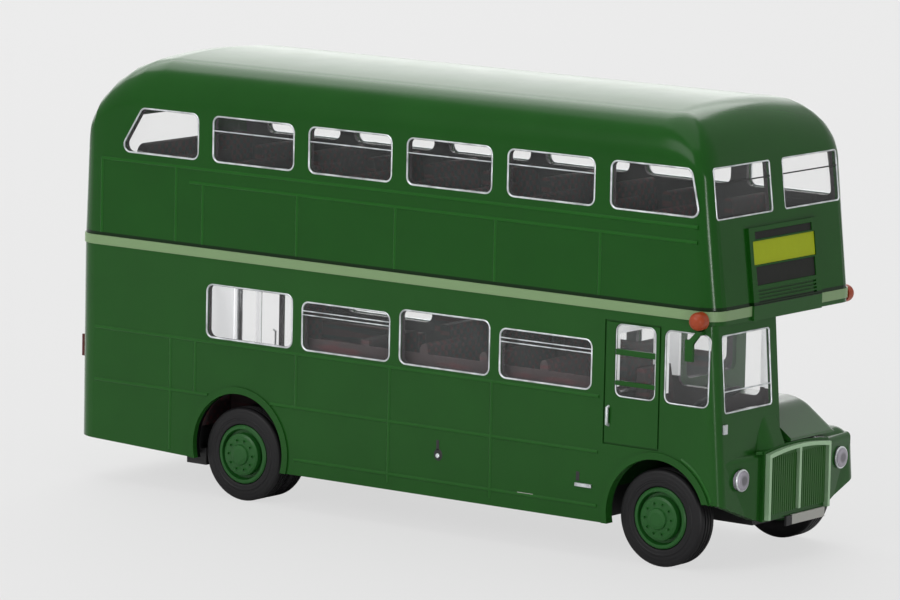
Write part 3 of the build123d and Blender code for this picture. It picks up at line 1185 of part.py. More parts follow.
# Blind box on the raked front: a bordered housing, louvres below, and blank blinds set in it
# Blinds: foot and head measured up the face, and the width of each
BLINDS = {"lower": (2.05, 4.15, 11.8), "middle": (4.3, 7.0, 12.4), "upper": (7.15, 8.0, 11.4)}
LOUVRE_FIELD = (0.2, 1.75, 11.6)
with BuildPart() as blind_box:
    with BuildSketch(FRONT_FACE):
        frame_between((-BLIND_WIDTH / 2, BLIND_WIDTH / 2), (0, BLIND_HEIGHT))
    extrude(amount=BLIND_PROUD)
    with BuildSketch(FRONT_FACE.offset(BLIND_PROUD)):
        for foot, head, width in BLINDS.values():
            frame_between((-width / 2, width / 2), (foot, head))
        low, high, width = LOUVRE_FIELD
        louvre_pitch = (high - low) / LOUVRES
        for louvre in range(LOUVRES):
            start = low + louvre * louvre_pitch
            frame_between((-width / 2, width / 2), (start, start + LOUVRE_HEIGHT))
    extrude(amount=-BLIND_RECESS, mode=Mode.SUBTRACT)
save(blind_box.part, "blind_box")

with BuildPart() as blinds:
    with BuildSketch(FRONT_FACE.offset(BLIND_PROUD - BLIND_RECESS)):
        for foot, head, width in BLINDS.values():
            frame_between((-width / 2, width / 2), (foot, head), FIT_GAP)
    extrude(amount=BLIND_RECESS / 2)
save(blinds.part, "blinds")

# Apron: the panel under the blind box, between the two ends of the waistband
with BuildPart() as apron:
    with BuildSketch(Plane.YZ.offset(UPPER_FRONT_X)):
        frame_between((-BLIND_WIDTH / 2, BLIND_WIDTH / 2), (CANOPY_Z, SPLIT_Z))
    extrude(amount=BLIND_PROUD)
save(apron.part, "apron")

# Offside mirror: a head on an arm that is fixed above the cab's quarter window
with BuildPart() as mirror_offside:
    mirror_x = UPPER_FRONT_X - MIRROR_SETBACK
    mirror_outer_y = HALF_WIDTH + MIRROR_PROUD
    foot_z = CANOPY_Z - MIRROR_FOOT_DROP
    head_z = (foot_z - MIRROR_DROP, foot_z - MIRROR_DROP + MIRROR_HEIGHT)
    with BuildSketch(Plane.XZ.offset(mirror_outer_y - MIRROR_THICKNESS)):
        frame_between((mirror_x - MIRROR_WIDTH, mirror_x), head_z)
        Polygon(
            (mirror_x - MIRROR_WIDTH / 2, head_z[1]),
            (mirror_x, head_z[1] - MIRROR_WIDTH / 2),
            (mirror_x + MIRROR_WIDTH, foot_z),
            (mirror_x + MIRROR_WIDTH / 2, foot_z + MIRROR_FOOT / 2),
            align=None,
        )
    extrude(amount=MIRROR_THICKNESS)
    with BuildSketch(Plane.XZ.offset(HALF_WIDTH)):
        foot_x = (mirror_x + MIRROR_WIDTH / 2, mirror_x + MIRROR_WIDTH / 2 + MIRROR_FOOT)
        frame_between(foot_x, (foot_z - MIRROR_FOOT / 2 + FIT_GAP, foot_z + MIRROR_FOOT / 2))
    extrude(amount=MIRROR_PROUD)
save(mirror_offside.part, "mirror_offside")
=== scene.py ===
"""Looks of the half-cab double decker bus model: finishes, trim, wheels, stage and camera.

Lengths are in millimetres in the bus's own frame (+X forward, +Y nearside, +Z up), and
become metres where a mesh is made.
"""

import logging
import math
from collections.abc import Callable, Iterable, Sequence
from dataclasses import dataclass, field
from enum import Enum

import bmesh
import bpy
from bpy.types import ID, Material, Mesh, Node, NodeSocket, NodeTree, Object
from mathutils import Matrix, Vector


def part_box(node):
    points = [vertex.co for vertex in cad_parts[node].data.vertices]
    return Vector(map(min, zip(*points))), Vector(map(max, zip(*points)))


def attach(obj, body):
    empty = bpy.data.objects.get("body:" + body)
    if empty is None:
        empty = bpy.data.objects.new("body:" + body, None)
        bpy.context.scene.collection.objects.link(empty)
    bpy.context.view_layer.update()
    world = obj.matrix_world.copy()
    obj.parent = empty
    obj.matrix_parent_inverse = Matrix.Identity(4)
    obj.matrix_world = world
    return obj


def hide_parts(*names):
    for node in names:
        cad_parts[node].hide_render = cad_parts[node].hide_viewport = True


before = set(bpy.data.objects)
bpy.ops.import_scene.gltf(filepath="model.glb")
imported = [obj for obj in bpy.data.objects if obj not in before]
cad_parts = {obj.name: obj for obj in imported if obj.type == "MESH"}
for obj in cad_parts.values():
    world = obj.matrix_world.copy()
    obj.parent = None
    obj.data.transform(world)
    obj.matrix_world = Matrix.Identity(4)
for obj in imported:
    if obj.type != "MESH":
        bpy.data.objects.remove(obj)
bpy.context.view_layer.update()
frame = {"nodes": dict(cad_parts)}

LOG = logging.getLogger("bus")
MM = 0.001
MICRON = 0.000001
FRONT_RAKE = math.radians(7.1)
# The cab's front: how far it leans back over its rise, and the x and z of its foot
CAB_LEAN = math.atan(1.5 / 19.7)
CAB_FOOT = (45.8, 8.0)

Triple = tuple[float, float, float]
Colour = Triple
Flat = tuple[float, float]
# Left, right, low and high
Rect = tuple[float, float, float, float]
Path = list[Vector]
Route = tuple[Path, bool]


class Rider(Enum):
    """The moving bodies that a piece can ride on."""

    SHELL = "body"
    FRONT_WHEELS = "front_wheelset"
    REAR_WHEELS = "rear_wheelset"


class Side(Enum):
    """The two long sides of the bus, with their direction along Y."""

    OFFSIDE = -1
    NEARSIDE = 1

    @property
    def label(self) -> str:
        """The side's name as the nodes spell it."""
        return self.name.lower()


def srgb(red: int, green: int, blue: int) -> Colour:
    """Turns screen values from 0 to 255 into the linear colour that shaders take."""
    levels = (value / 255 for value in (red, green, blue))
    return tuple(x / 12.92 if x <= 0.04045 else ((x + 0.055) / 1.055) ** 2.4 for x in levels)


def shaded(colour: Colour, share: float) -> Colour:
    """The colour times a share of its light."""
    return tuple(channel * share for channel in colour)


def operator(operation: str, reflected: bool = False) -> Callable[..., "Signal"]:
    """Makes a method of Signal that adds one Math node.

    Args:
        operation: the Math node's operation.
        reflected: whether the other value comes first.

    Returns:
        The method.
    """
    def method(self: "Signal", other: "Signal | float" = 0.0) -> "Signal":
        """Adds the node on the signal and another value."""
        first, second = (other, self) if reflected else (self, other)
        return self.graph.signal("ShaderNodeMath", {"operation": operation}, {0: first, 1: second})

    return method


class Signal:
    """A shader value held as a socket, on which Python operators add Math nodes."""

    __add__ = operator("ADD")
    __radd__ = operator("ADD", reflected=True)
    __sub__ = operator("SUBTRACT")
    __rsub__ = operator("SUBTRACT", reflected=True)
    __mul__ = operator("MULTIPLY")
    __rmul__ = operator("MULTIPLY", reflected=True)
    __truediv__ = operator("DIVIDE")
    __pow__ = operator("POWER")
    __lt__ = operator("LESS_THAN")
    __gt__ = operator("GREATER_THAN")
    __abs__ = operator("ABSOLUTE")
    larger = operator("MAXIMUM")
    sine = operator("SINE")

    def __init__(self, graph: "Graph", socket: NodeSocket) -> None:
        """Wraps one output socket of a graph."""
        self.graph = graph
        self.socket = socket

    def wave(self, length: float) -> "Signal":
        """A sine along the value, from -1 to 1, with that wavelength."""
        return (self * (2 * math.pi / length)).sine()

    def ramp(self, low: float, high: float) -> "Signal":
        """A smooth step from 0 at low to 1 at high."""
        sockets = {"Value": self, "From Min": low, "From Max": high}
        return self.graph.signal("ShaderNodeMapRange", {"interpolation_type": "SMOOTHSTEP"}, sockets)


Feed = Signal | NodeSocket | float | Colour


class Net:
    """A node tree that grows by calls."""

    def __init__(self, tree: NodeTree) -> None:
        """Starts from an empty tree."""
        self.tree = tree
        tree.nodes.clear()

    def node(self, kind: str, settings: dict | None = None, sockets: dict | None = None) -> Node:
        """Adds a node.

        Args:
            kind: the node's type.
            settings: its properties, which are set first.
            sockets: values or links by the input's name or number.

        Returns:
            The node.
        """
        node = self.tree.nodes.new(kind)
        for name, value in (settings or {}).items():
            setattr(node, name, value)
        for key, value in (sockets or {}).items():
            self._feed(node.inputs[key], value)
        return node

    def out(self, kind: str, settings: dict | None = None, sockets: dict | None = None,
            output: int | str = 0) -> NodeSocket:
        """Adds a node and gives one of its outputs."""
        return self.node(kind, settings, sockets).outputs[output]

    def _feed(self, socket: NodeSocket, value: Feed) -> None:
        """Links or sets one input."""
        source = value.socket if isinstance(value, Signal) else value
        if isinstance(source, NodeSocket):
            self.tree.links.new(source, socket)
        elif socket.type == "RGBA" and len(source) == 3:
            socket.default_value = (*source, 1.0)
        else:
            socket.default_value = source


class Graph(Net):
    """One material's or world's shader nodes."""

    def signal(self, kind: str, settings: dict | None = None, sockets: dict | None = None,
               output: int | str = 0) -> Signal:
        """Adds a node and wraps one of its outputs."""
        return Signal(self, self.out(kind, settings, sockets, output))

    def place(self) -> NodeSocket:
        """The place on the bus in millimetres."""
        spot = self.out("ShaderNodeTexCoord", output="Object")
        return self.out("ShaderNodeVectorMath", {"operation": "SCALE"}, {0: spot, "Scale": 1 / MM})

    def axes(self) -> tuple[Signal, Signal, Signal]:
        """The place on the bus as three values, in millimetres."""
        split = self.node("ShaderNodeSeparateXYZ", None, {0: self.place()})
        return tuple(Signal(self, output) for output in split.outputs)

    def noise(self, size: float, detail: float = 2.0, stretch: Triple = (1.0, 1.0, 1.0)) -> Signal:
        """Cloudy noise.

        Args:
            size: the width of one cloud in millimetres.
            detail: the octaves of finer noise.
            stretch: how much closer the clouds lie along each axis.

        Returns:
            The noise, from 0 to 1 about a half.
        """
        mapped = self.out("ShaderNodeMapping", None, {"Vector": self.place(), "Scale": stretch})
        sockets = {"Vector": mapped, "Scale": 1 / size, "Detail": detail}
        return self.signal("ShaderNodeTexNoise", None, sockets)

    def mix(self, first: Feed, second: Feed, share: Signal) -> NodeSocket:
        """Blends two colours by a share of the second."""
        return self.out("ShaderNodeMix", {"data_type": "RGBA"}, {0: share, 6: first, 7: second}, 2)

    def bump(self, height: Signal, depth: float) -> NodeSocket:
        """A normal from a height between 0 and 1 and its depth in millimetres."""
        return self.out("ShaderNodeBump", None, {"Height": height, "Distance": depth * MM, "Strength": 1.0})

    def surface(self, shader: NodeSocket) -> None:
        """Ends a material in a shader."""
        self.node("ShaderNodeOutputMaterial", None, {"Surface": shader})


def new_material(name: str) -> tuple[Material, Graph]:
    """Makes a material and gives it with its empty graph."""
    made = bpy.data.materials.new(name)
    made.use_nodes = True
    return made, Graph(made.node_tree)


@dataclass(frozen=True)
class Finish:
    """A moulded or printed surface: colour, gloss, faint clouding and fine grain."""

    name: str
    colour: Colour
    slot: str
    roughness: float = 0.34
    metallic: float = 0.0
    coat: float = 0.0
    coat_roughness: float = 0.12
    specular: float = 0.5
    cloud: float = 0.12
    cloud_size: float = 7.0
    gloss_spread: float = 0.08
    grain: float = 0.012
    grain_size: float = 0.45

    def tint(self, graph: Graph) -> Feed:
        """The colour over the surface."""
        cloud = graph.noise(self.cloud_size, detail=3.0)
        return graph.mix(shaded(self.colour, 1 - self.cloud), shaded(self.colour, 1 + self.cloud), cloud)

    def gloss(self, graph: Graph) -> Signal:
        """The roughness over the surface."""
        return self.roughness + (graph.noise(self.cloud_size / 2) - 0.5) * self.gloss_spread

    def relief(self, graph: Graph) -> NodeSocket:
        """The fine relief over the surface."""
        return graph.bump(graph.noise(self.grain_size), self.grain)

    def sockets(self, graph: Graph) -> dict:
        """What feeds the main shader."""
        return {
            "Base Color": self.tint(graph),
            "Roughness": self.gloss(graph),
            "Normal": self.relief(graph),
            "Metallic": self.metallic,
            "Coat Weight": self.coat,
            "Coat Roughness": self.coat_roughness,
            "Specular IOR Level": self.specular,
        }

    def material(self) -> Material:
        """The finish as a material, made once."""
        label = f"finish_{self.name}"
        found = bpy.data.materials.get(label)
        if found:
            return found
        made, graph = new_material(label)
        graph.surface(graph.out("ShaderNodeBsdfPrincipled", None, self.sockets(graph)))
        return made


@dataclass(frozen=True)
class Lining:
    """A box inside the bus whose walls have a colour, and a painted glow where they are given one, though
    they are no lamp.
    """

    colour: Colour
    ends: Flat
    sides: Flat
    heights: Flat
    corner: float
    lean: float = 0.0
    # Painted light: an emitted glow on walls that are no lamp
    glow: float = 0.0

    def share(self, graph: Graph) -> Signal:
        """One inside the box, which is rounded in plan and leans back with height, else zero."""
        along, across, up = graph.axes()
        outside = []
        for value, (low, high) in ((along + up * self.lean, self.ends), (across, self.sides)):
            straight = (high - low) / 2 - self.corner
            outside.append((abs(value - (low + high) / 2) - straight).larger(0.0))
        share = outside[0] ** 2.0 + outside[1] ** 2.0 < self.corner ** 2
        return share * (up > self.heights[0]) * (up < self.heights[1])


@dataclass(frozen=True)
class BodyFinish(Finish):
    """Body colour with a painted shadow along the gap between the decks at one height, and linings inside.
    """

    seam_z: float = 0.0
    seam_width: float = 0.4
    # How dark the painted shadow in the gap between the decks is, as a share of the body colour
    painted_seam_shadow: float = 0.25
    linings: tuple[Lining, ...] = ()
    cloth_shade: float = 0.8

    def tint(self, graph: Graph) -> Feed:
        """The body colour with the painted shadow of the decks' gap, or the lining's within its box."""
        # Painted shadow: a thin dark line where the gap between the upper and lower mouldings is
        seam_shadow_mask = abs(graph.axes()[2] - self.seam_z) < self.seam_width / 2
        tint = graph.mix(super().tint(graph), shaded(self.colour, self.painted_seam_shadow), seam_shadow_mask)
        grain = graph.noise(self.cloud_size)
        for lining in self.linings:
            cloth = graph.mix(shaded(lining.colour, self.cloth_shade), lining.colour, grain)
            tint = graph.mix(tint, cloth, lining.share(graph))
        return tint

    def sockets(self, graph: Graph) -> dict:
        """The main shader's feeds, with the painted glow of the pale linings, which are no lamps."""
        sockets = super().sockets(graph)
        # Painted light: the pale linings glow though they are no lamps
        light: Feed = (0.0, 0.0, 0.0)
        for lining in self.linings:
            if lining.glow:
                light = graph.mix(light, shaded(lining.colour, lining.glow), lining.share(graph))
        sockets["Emission Color"] = light
        sockets["Emission Strength"] = 1.0
        return sockets


@dataclass(frozen=True)
class BandedPrint(Finish):
    """Print in two colours, the second one between two heights."""

    second: Colour = (1.0, 1.0, 1.0)
    heights: Flat = (0.0, 0.0)
    fading: float = 0.9

    def tint(self, graph: Graph) -> Feed:
        """The first colour with a band of the second."""
        height = graph.axes()[2]
        band = (height > self.heights[0]) * (height < self.heights[1])
        cloud = graph.noise(self.cloud_size / 3, detail=3.0)
        paper = graph.mix(shaded(self.second, self.fading), self.second, cloud)
        return graph.mix(super().tint(graph), paper, band)


@dataclass(frozen=True)
class Rubber(Finish):
    """Tyre rubber with fine rings round its sidewall."""

    axle: Flat = (0.0, 0.0)
    ring_pitch: float = 0.45
    ring_share: float = 0.6

    def relief(self, graph: Graph) -> NodeSocket:
        """Rings about the axle over a fine grain."""
        along, _, up = graph.axes()
        radius = ((along - self.axle[0]) ** 2 + (up - self.axle[1]) ** 2) ** 0.5
        rings = radius.wave(self.ring_pitch) * 0.5 + 0.5
        grain = graph.noise(self.grain_size)
        return graph.bump(rings * self.ring_share + grain * (1 - self.ring_share), self.grain)


@dataclass(frozen=True)
class Moquette(Finish):
    """Seat moulding: a dull ground with a woven fleck of a second colour."""

    second: Colour = (1.0, 1.0, 1.0)
    weave: float = 1.3
    check_share: float = 0.3
    fleck_edge: Flat = (0.5, 0.66)

    def tint(self, graph: Graph) -> Feed:
        """The ground with its flecks and clouds."""
        _, across, up = graph.axes()
        checks = across.wave(self.weave) * up.wave(self.weave)
        cloud = graph.noise(self.cloud_size, detail=4.0)
        fleck = (checks * self.check_share + cloud).ramp(*self.fleck_edge)
        return graph.mix(super().tint(graph), self.second, fleck)


@dataclass(frozen=True)
class Glazing(Finish):
    """Clear moulded panes: see-through face on, brighter at a slant."""

    haze: float = 0.025
    edge_haze: float = 0.3
    edge_blend: float = 0.35
    streak: float = 0.02
    streak_stretch: Triple = (0.4, 0.4, 1.0)

    def sockets(self, graph: Graph) -> dict:
        """A thin clear shader whose haze grows with the slant of the view."""
        slant = graph.signal("ShaderNodeLayerWeight", None, {"Blend": self.edge_blend}, "Facing")
        streak = graph.noise(self.cloud_size, stretch=self.streak_stretch) * self.streak
        sockets = super().sockets(graph)
        sockets["Alpha"] = self.haze + slant ** 3.0 * self.edge_haze + streak
        return sockets


@dataclass(frozen=True)
class RibbedLens(Finish):
    """Lamp glass with upright ribs, darker in the middle of each lamp."""

    rib: float = 0.28
    centre: Flat = (0.0, 0.0)
    pupil_edge: Flat = (0.35, 0.77)
    pupil_shade: float = 0.45

    def tint(self, graph: Graph) -> Feed:
        """The bright rim of the glass with a dim middle."""
        _, across, up = graph.axes()
        radius = ((abs(across) - self.centre[0]) ** 2 + (up - self.centre[1]) ** 2) ** 0.5
        dim = 1.0 - radius.ramp(*self.pupil_edge)
        return graph.mix(super().tint(graph), shaded(self.colour, self.pupil_shade), dim)

    def relief(self, graph: Graph) -> NodeSocket:
        """Ribs across the lamp."""
        return graph.bump(graph.axes()[1].wave(self.rib) * 0.5 + 0.5, self.grain)


@dataclass(frozen=True)
class Facet:
    """A flat face of the bus: a point on it, two directions along it and one out of it."""

    origin: Vector
    along: Vector
    up: Vector
    out: Vector

    @classmethod
    def forward(cls, origin: Vector, lean: float = 0.0) -> "Facet":
        """A face across the bus that looks forward and leans back by an angle."""
        up = Vector((-math.sin(lean), 0, math.cos(lean)))
        return cls(origin, Vector((0, 1, 0)), up, Vector((math.cos(lean), 0, math.sin(lean))))

    def at(self, along: float, up: float, proud: float = 0.0) -> Vector:
        """The point at two distances along the face and one out of it."""
        return self.origin + self.along * along + self.up * up + self.out * proud

    def path(self, flats: Iterable[Flat], proud: float = 0.0) -> Path:
        """Points of the face in order, all as far out of it."""
        return [self.at(along, up, proud) for along, up in flats]


def box_mm(node: str) -> tuple[Vector, Vector]:
    """A CAD node's lowest and highest corners in millimetres."""
    low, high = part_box(node)
    return low / MM, high / MM


def centre_mm(node: str) -> Vector:
    """The middle of a CAD node's box in millimetres."""
    low, high = box_mm(node)
    return (low + high) / 2


@dataclass(frozen=True)
class Datum:
    """Faces and heights of the bus that the trim is set out from."""

    half_width: float
    split_z: float
    roof_z: float
    upper_front: Facet
    cab_front: Facet
    nose: Facet
    rear: Facet

    @classmethod
    def from_frame(cls) -> "Datum":
        """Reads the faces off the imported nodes."""
        upper_high = box_mm("upper_body")[1]
        lower_low, lower_high = box_mm("lower_body")
        split = Vector((box_mm("apron")[0].x, 0, lower_high.z))
        screen_z = box_mm("windscreen")[0].z
        screen_x = CAB_FOOT[0] - (screen_z - CAB_FOOT[1]) * math.tan(CAB_LEAN)
        across, upright, backward = Vector((0, 1, 0)), Vector((0, 0, 1)), Vector((-1, 0, 0))
        return cls(
            half_width=upper_high.y,
            split_z=lower_high.z,
            roof_z=upper_high.z,
            upper_front=Facet.forward(split, FRONT_RAKE),
            cab_front=Facet.forward(Vector((screen_x, 0, screen_z)), CAB_LEAN),
            nose=Facet.forward(Vector((box_mm("radiator_frame")[0].x, 0, 0))),
            rear=Facet(Vector((lower_low.x, 0, 0)), across, upright, backward),
        )

    def flank(self, side: Side) -> Facet:
        """The flat side of the bus, measured along X and up Z from the origin."""
        out = Vector((0, side.value, 0))
        return Facet(out * self.half_width, Vector((1, 0, 0)), Vector((0, 0, 1)), out)


@dataclass(frozen=True)
class Interior:
    """Where the inside walls lie, and the colour and painted glow that they have, with painted shade in the
    rear arches.
    """

    dim: Colour = srgb(70, 61, 64)
    # Pale walls that, with their glow, are painted light on the platform and in the cab
    pale: Colour = srgb(240, 241, 242)
    # Near black painted shade for the insides of the rear wheel arches
    painted_arch_shade: Colour = srgb(16, 16, 17)
    wall: float = 0.5
    crisp: float = 0.1
    floor_z: float = 8.5
    ceiling_drop: float = 0.9
    saloon_ends: Flat = (-40.0, 29.7)
    arch_half: float = 7.6
    arch_heights: Flat = (0.0, 13.2)
    platform_ends: Flat = (-46.1, -36.0)
    platform_corner: float = 2.5
    # Painted light on the pale platform lining, which is no lamp
    platform_painted_glow: float = 0.55
    cab_ends: Flat = (30.0, 45.9)
    cab_inner: float = -1.9
    cab_heights: Flat = (13.2, 19.6)
    cab_corner: float = 0.8
    # Painted light on the pale upper cab lining, which is no lamp
    cab_painted_glow: float = 0.3
    deck_rear: float = -38.0
    deck_corner: float = 1.7
    deck_drop: float = 0.2
    roof_drop: float = 5.8

    def upper(self, datum: Datum) -> tuple[Lining, ...]:
        """The upper deck's lining, which follows the raked front."""
        side, rake = datum.half_width - self.wall, math.tan(FRONT_RAKE)
        front = datum.upper_front.origin.x + rake * datum.split_z - self.wall
        heights = (datum.split_z - self.deck_drop, datum.roof_z - self.roof_drop)
        return (Lining(self.dim, (self.deck_rear, front), (-side, side), heights, self.deck_corner, rake),)

    def lower(self, datum: Datum) -> tuple[Lining, ...]:
        """The linings of the saloon, the rear arches painted dark as shade, the platform and the cab, of
        which the pale ones carry a painted glow.
        """
        side, ceiling = datum.half_width - self.wall, datum.split_z - self.ceiling_drop
        both, offside, storey = (-side, side), (-side, self.cab_inner), (self.floor_z, ceiling)
        axle, lean = centre_mm("rear_axle").x, math.tan(CAB_LEAN)
        # The platform's pale lining gets a painted glow
        platform = {"corner": self.platform_corner, "glow": self.platform_painted_glow}
        arch, cab_upper = (axle - self.arch_half, axle + self.arch_half), (self.cab_heights[1], ceiling)
        return (
            Lining(self.dim, self.saloon_ends, both, storey, self.crisp),
            # Painted shade: the rear wheel arches' insides are made near black
            Lining(self.painted_arch_shade, arch, both, self.arch_heights, self.crisp),
            Lining(self.pale, self.platform_ends, both, storey, **platform),
            Lining(self.dim, self.cab_ends, offside, self.cab_heights, self.cab_corner, lean),
            Lining(self.pale, self.cab_ends, offside, cab_upper, self.cab_corner, lean, self.cab_painted_glow),
        )


@dataclass(frozen=True)
class Palette:
    """Every finish of the bus."""

    upper_green: Finish
    lower_green: Finish
    bonnet_green: Finish
    # The beads' greens are lighter copies of the body greens, a painted highlight on their raised ridges
    bead_upper: Finish
    bead_lower: Finish
    hub_green: Finish
    grille: Finish
    band: Finish
    blind: Finish
    silver: Finish
    frame: Finish
    glazing: Finish
    upper_glazing: Finish
    lens: Finish
    amber: Finish
    red_lamp: Finish
    plate: Finish
    black: Finish
    seats: Finish
    steel: Finish
    front_rubber: Finish
    rear_rubber: Finish

    @classmethod
    def for_bus(cls, datum: Datum) -> "Palette":
        """The finishes, with the painted shadow of the seam, the linings and the tyres' rings at their
        places.
        """
        upper, lower, clear = srgb(20, 73, 17), srgb(29, 77, 26), srgb(232, 236, 236)
        satin = {"roughness": 0.2, "specular": 0.14, "gloss_spread": 0.06, "grain": 0.003}
        # The painted shadow of the decks' gap sits just above the top of the lower moulding
        seam_rise = 0.1
        body = {**satin, "seam_z": datum.split_z + seam_rise}
        dull = {"roughness": 0.5, "specular": 0.25, "grain": 0.02}
        tyre = {"colour": srgb(19, 18, 20), "slot": "tyre", **dull}
        front, rear, lamps = (centre_mm(node) for node in ("front_axle", "rear_axle", "headlamps"))
        lamp_corner = box_mm("headlamps")[1]
        lamp_y = lamp_corner.y - (lamp_corner.z - lamps.z)
        blind_low, blind_high = (corner.z for corner in box_mm("blinds"))
        band_shares = (0.385, 0.84)
        band = tuple(blind_low + share * (blind_high - blind_low) for share in band_shares)
        return cls(
            upper_green=BodyFinish(
                "satin_green_upper", upper, "upper_green", linings=Interior().upper(datum), **body),
            lower_green=BodyFinish(
                "satin_green_lower", lower, "lower_green", linings=Interior().lower(datum), **body),
            bonnet_green=Finish(
                "satin_green_bonnet", lower, "lower_green", roughness=0.22, specular=0.5, grain=0.003),
            # Beads: the body greens made lighter as a painted highlight
            bead_upper=Finish("bead_painted_highlight_upper", shaded(upper, 1.35), "upper_green", **satin),
            bead_lower=Finish("bead_painted_highlight_lower", shaded(lower, 1.2), "lower_green", **satin),
            hub_green=Finish("hub_green", srgb(26, 80, 28), "hub_green", roughness=0.4, specular=0.28),
            grille=Finish("grille_green", srgb(47, 90, 40), "grille", roughness=0.4, specular=0.2),
            band=Finish("pale_green_band", srgb(115, 143, 98), "band", roughness=0.45, cloud=0.05),
            blind=BandedPrint(
                "blind_print", srgb(20, 22, 18), "blind", roughness=0.5, specular=0.15, cloud_size=2.0,
                second=srgb(158, 172, 22), heights=band),
            # The strong cloud runs the silver from grey to white in patches, a painted glint
            silver=Finish(
                "silver_print_painted_glints", srgb(196, 200, 202), "silver_trim", metallic=0.7, roughness=0.3,
                cloud=0.9, cloud_size=1.6),
            frame=Finish(
                "bright_frame", srgb(150, 182, 146), "bright_frame", metallic=0.35, roughness=0.35),
            glazing=Glazing("clear_glazing", clear, "glazing", roughness=0.05),
            upper_glazing=Glazing("clear_glazing_upper", clear, "glazing", roughness=0.05, haze=0.014),
            lens=RibbedLens(
                "lamp_glass", srgb(158, 153, 164), "lamp_glass", roughness=0.25, coat=0.1, grain=0.05,
                centre=(lamp_y, lamps.z)),
            amber=Finish("amber_lamp", srgb(150, 58, 24), "amber", roughness=0.4, specular=0.3),
            red_lamp=Finish("red_lamp", srgb(76, 14, 12), "red_lamp", roughness=0.35, specular=0.3),
            plate=Finish("blank_plate", srgb(164, 164, 158), "plate", roughness=0.5, cloud=0.08),
            black=Finish("matt_black", srgb(24, 24, 25), "chassis_black", roughness=0.6, grain=0.03),
            seats=Moquette(
                "seat_moulding", srgb(64, 51, 53), "interior", roughness=0.7, specular=0.2,
                second=srgb(88, 48, 52)),
            steel=Finish("axle_steel", srgb(170, 170, 174), "steel", metallic=1.0, roughness=0.35),
            front_rubber=Rubber("front_tyre_rubber", axle=(front.x, front.z), **tyre),
            rear_rubber=Rubber("rear_tyre_rubber", axle=(rear.x, rear.z), **tyre),
        )

    def of_node(self, node: str) -> Finish:
        """The finish of a CAD node, by its name or a word in it."""
        named = {
            "bonnet": self.bonnet_green, "upper_body": self.upper_green, "blind_box": self.upper_green,
            "waistband": self.band, "radiator_grille": self.grille, "radiator_frame": self.frame,
            "blinds": self.blind, "headlamps": self.lens, "sidelight": self.silver,
            "platform_pole": self.silver, "indicators": self.amber, "rear_lamps": self.red_lamp,
            "front_plate": self.plate, "rear_plate": self.plate, "chassis": self.black,
            "steering_wheel": self.black, "upper_deck": self.seats, "lower_deck": self.seats,
            "staircase": self.seats, "driver_seat": self.seats, "windscreen": self.glazing,
            "door_glass": self.glazing,
        }
        worded = {
            "front_tyre": self.front_rubber, "rear_tyre": self.rear_rubber, "hub": self.hub_green,
            "axle": self.steel, "upper_glazing": self.upper_glazing, "glazing": self.glazing,
        }
        for word, finish in worded.items():
            if word in node:
                return finish
        return named.get(node, self.lower_green)


def mesh_mm(name: str, points: Iterable[Vector], edges: Sequence = (), faces: Sequence = ()) -> Mesh:
    """Makes a mesh in metres from points in millimetres, with edges or faces by index."""
    mesh = bpy.data.meshes.new(name)
    mesh.from_pydata([point * MM for point in points], edges, faces)
    mesh.update()
    return mesh


def turn_outwards(mesh: Mesh, crease: float = 35.0) -> None:
    """Merges doubles, points the faces outwards and smooths all but the edges past a crease in degrees."""
    shape = bmesh.new()
    shape.from_mesh(mesh)
    bmesh.ops.remove_doubles(shape, verts=shape.verts, dist=MICRON)
    bmesh.ops.recalc_face_normals(shape, faces=shape.faces)
    shape.to_mesh(mesh)
    shape.free()
    mesh.shade_smooth()
    mesh.set_sharp_from_angle(angle=math.radians(crease))


def put(name: str, data: ID) -> Object:
    """Makes an object of some data and links it to the scene."""
    thing = bpy.data.objects.new(name, data)
    bpy.context.scene.collection.objects.link(thing)
    return thing


def modified(mesh: Mesh, kind: str, settings: dict, inputs: dict | None = None) -> Mesh:
    """Runs one modifier on a mesh.

    Args:
        mesh: the mesh to start from.
        kind: the modifier's type.
        settings: the modifier's properties.
        inputs: a node tree's values by socket identifier.

    Returns:
        The result as a plain mesh.
    """
    holder = put("holder", mesh)
    modifier = holder.modifiers.new("step", kind)
    for name, value in settings.items():
        setattr(modifier, name, value)
    for identifier, value in (inputs or {}).items():
        modifier[identifier] = value
    evaluated = holder.evaluated_get(bpy.context.evaluated_depsgraph_get())
    result = bpy.data.meshes.new_from_object(evaluated)
    holder.modifiers.remove(modifier)
    bpy.data.objects.remove(holder)
    return result


class Tree(Net):
    """A Geometry Nodes tree with named inputs, whose result is taken as a plain mesh."""

    def __init__(self, name: str, inputs: dict[str, str]) -> None:
        """Starts a tree with socket types by input name, besides the geometry and the material."""
        super().__init__(bpy.data.node_groups.new(name, "GeometryNodeTree"))
        given = {"Geometry": "NodeSocketGeometry", **inputs, "Material": "NodeSocketMaterial"}
        for label, kind in given.items():
            self.tree.interface.new_socket(label, in_out="INPUT", socket_type=kind)
        self.tree.interface.new_socket("Geometry", in_out="OUTPUT", socket_type="NodeSocketGeometry")
        self.given = self.node("NodeGroupInput").outputs

    def close(self, geometry: NodeSocket) -> None:
        """Ends the tree: instances are made real and given the material."""
        real = self.out("GeometryNodeRealizeInstances", None, {"Geometry": geometry})
        sockets = {"Geometry": real, "Material": self.given["Material"]}
        self.node("NodeGroupOutput", None, {0: self.out("GeometryNodeSetMaterial", None, sockets)})

    def grow(self, base: Mesh, values: dict[str, object], finish: Finish) -> Mesh:
        """Runs the tree on a mesh.

        Args:
            base: the mesh that the tree starts from.
            values: the inputs by name.
            finish: the finish of the result.

        Returns:
            The result as a plain mesh.
        """
        known = {**values, "Material": finish.material()}
        items = [item for item in self.tree.interface.items_tree if item.in_out == "INPUT"]
        inputs = {item.identifier: known[item.name] for item in items if item.name in known}
        return modified(base, "NODES", {"node_group": self.tree}, inputs)


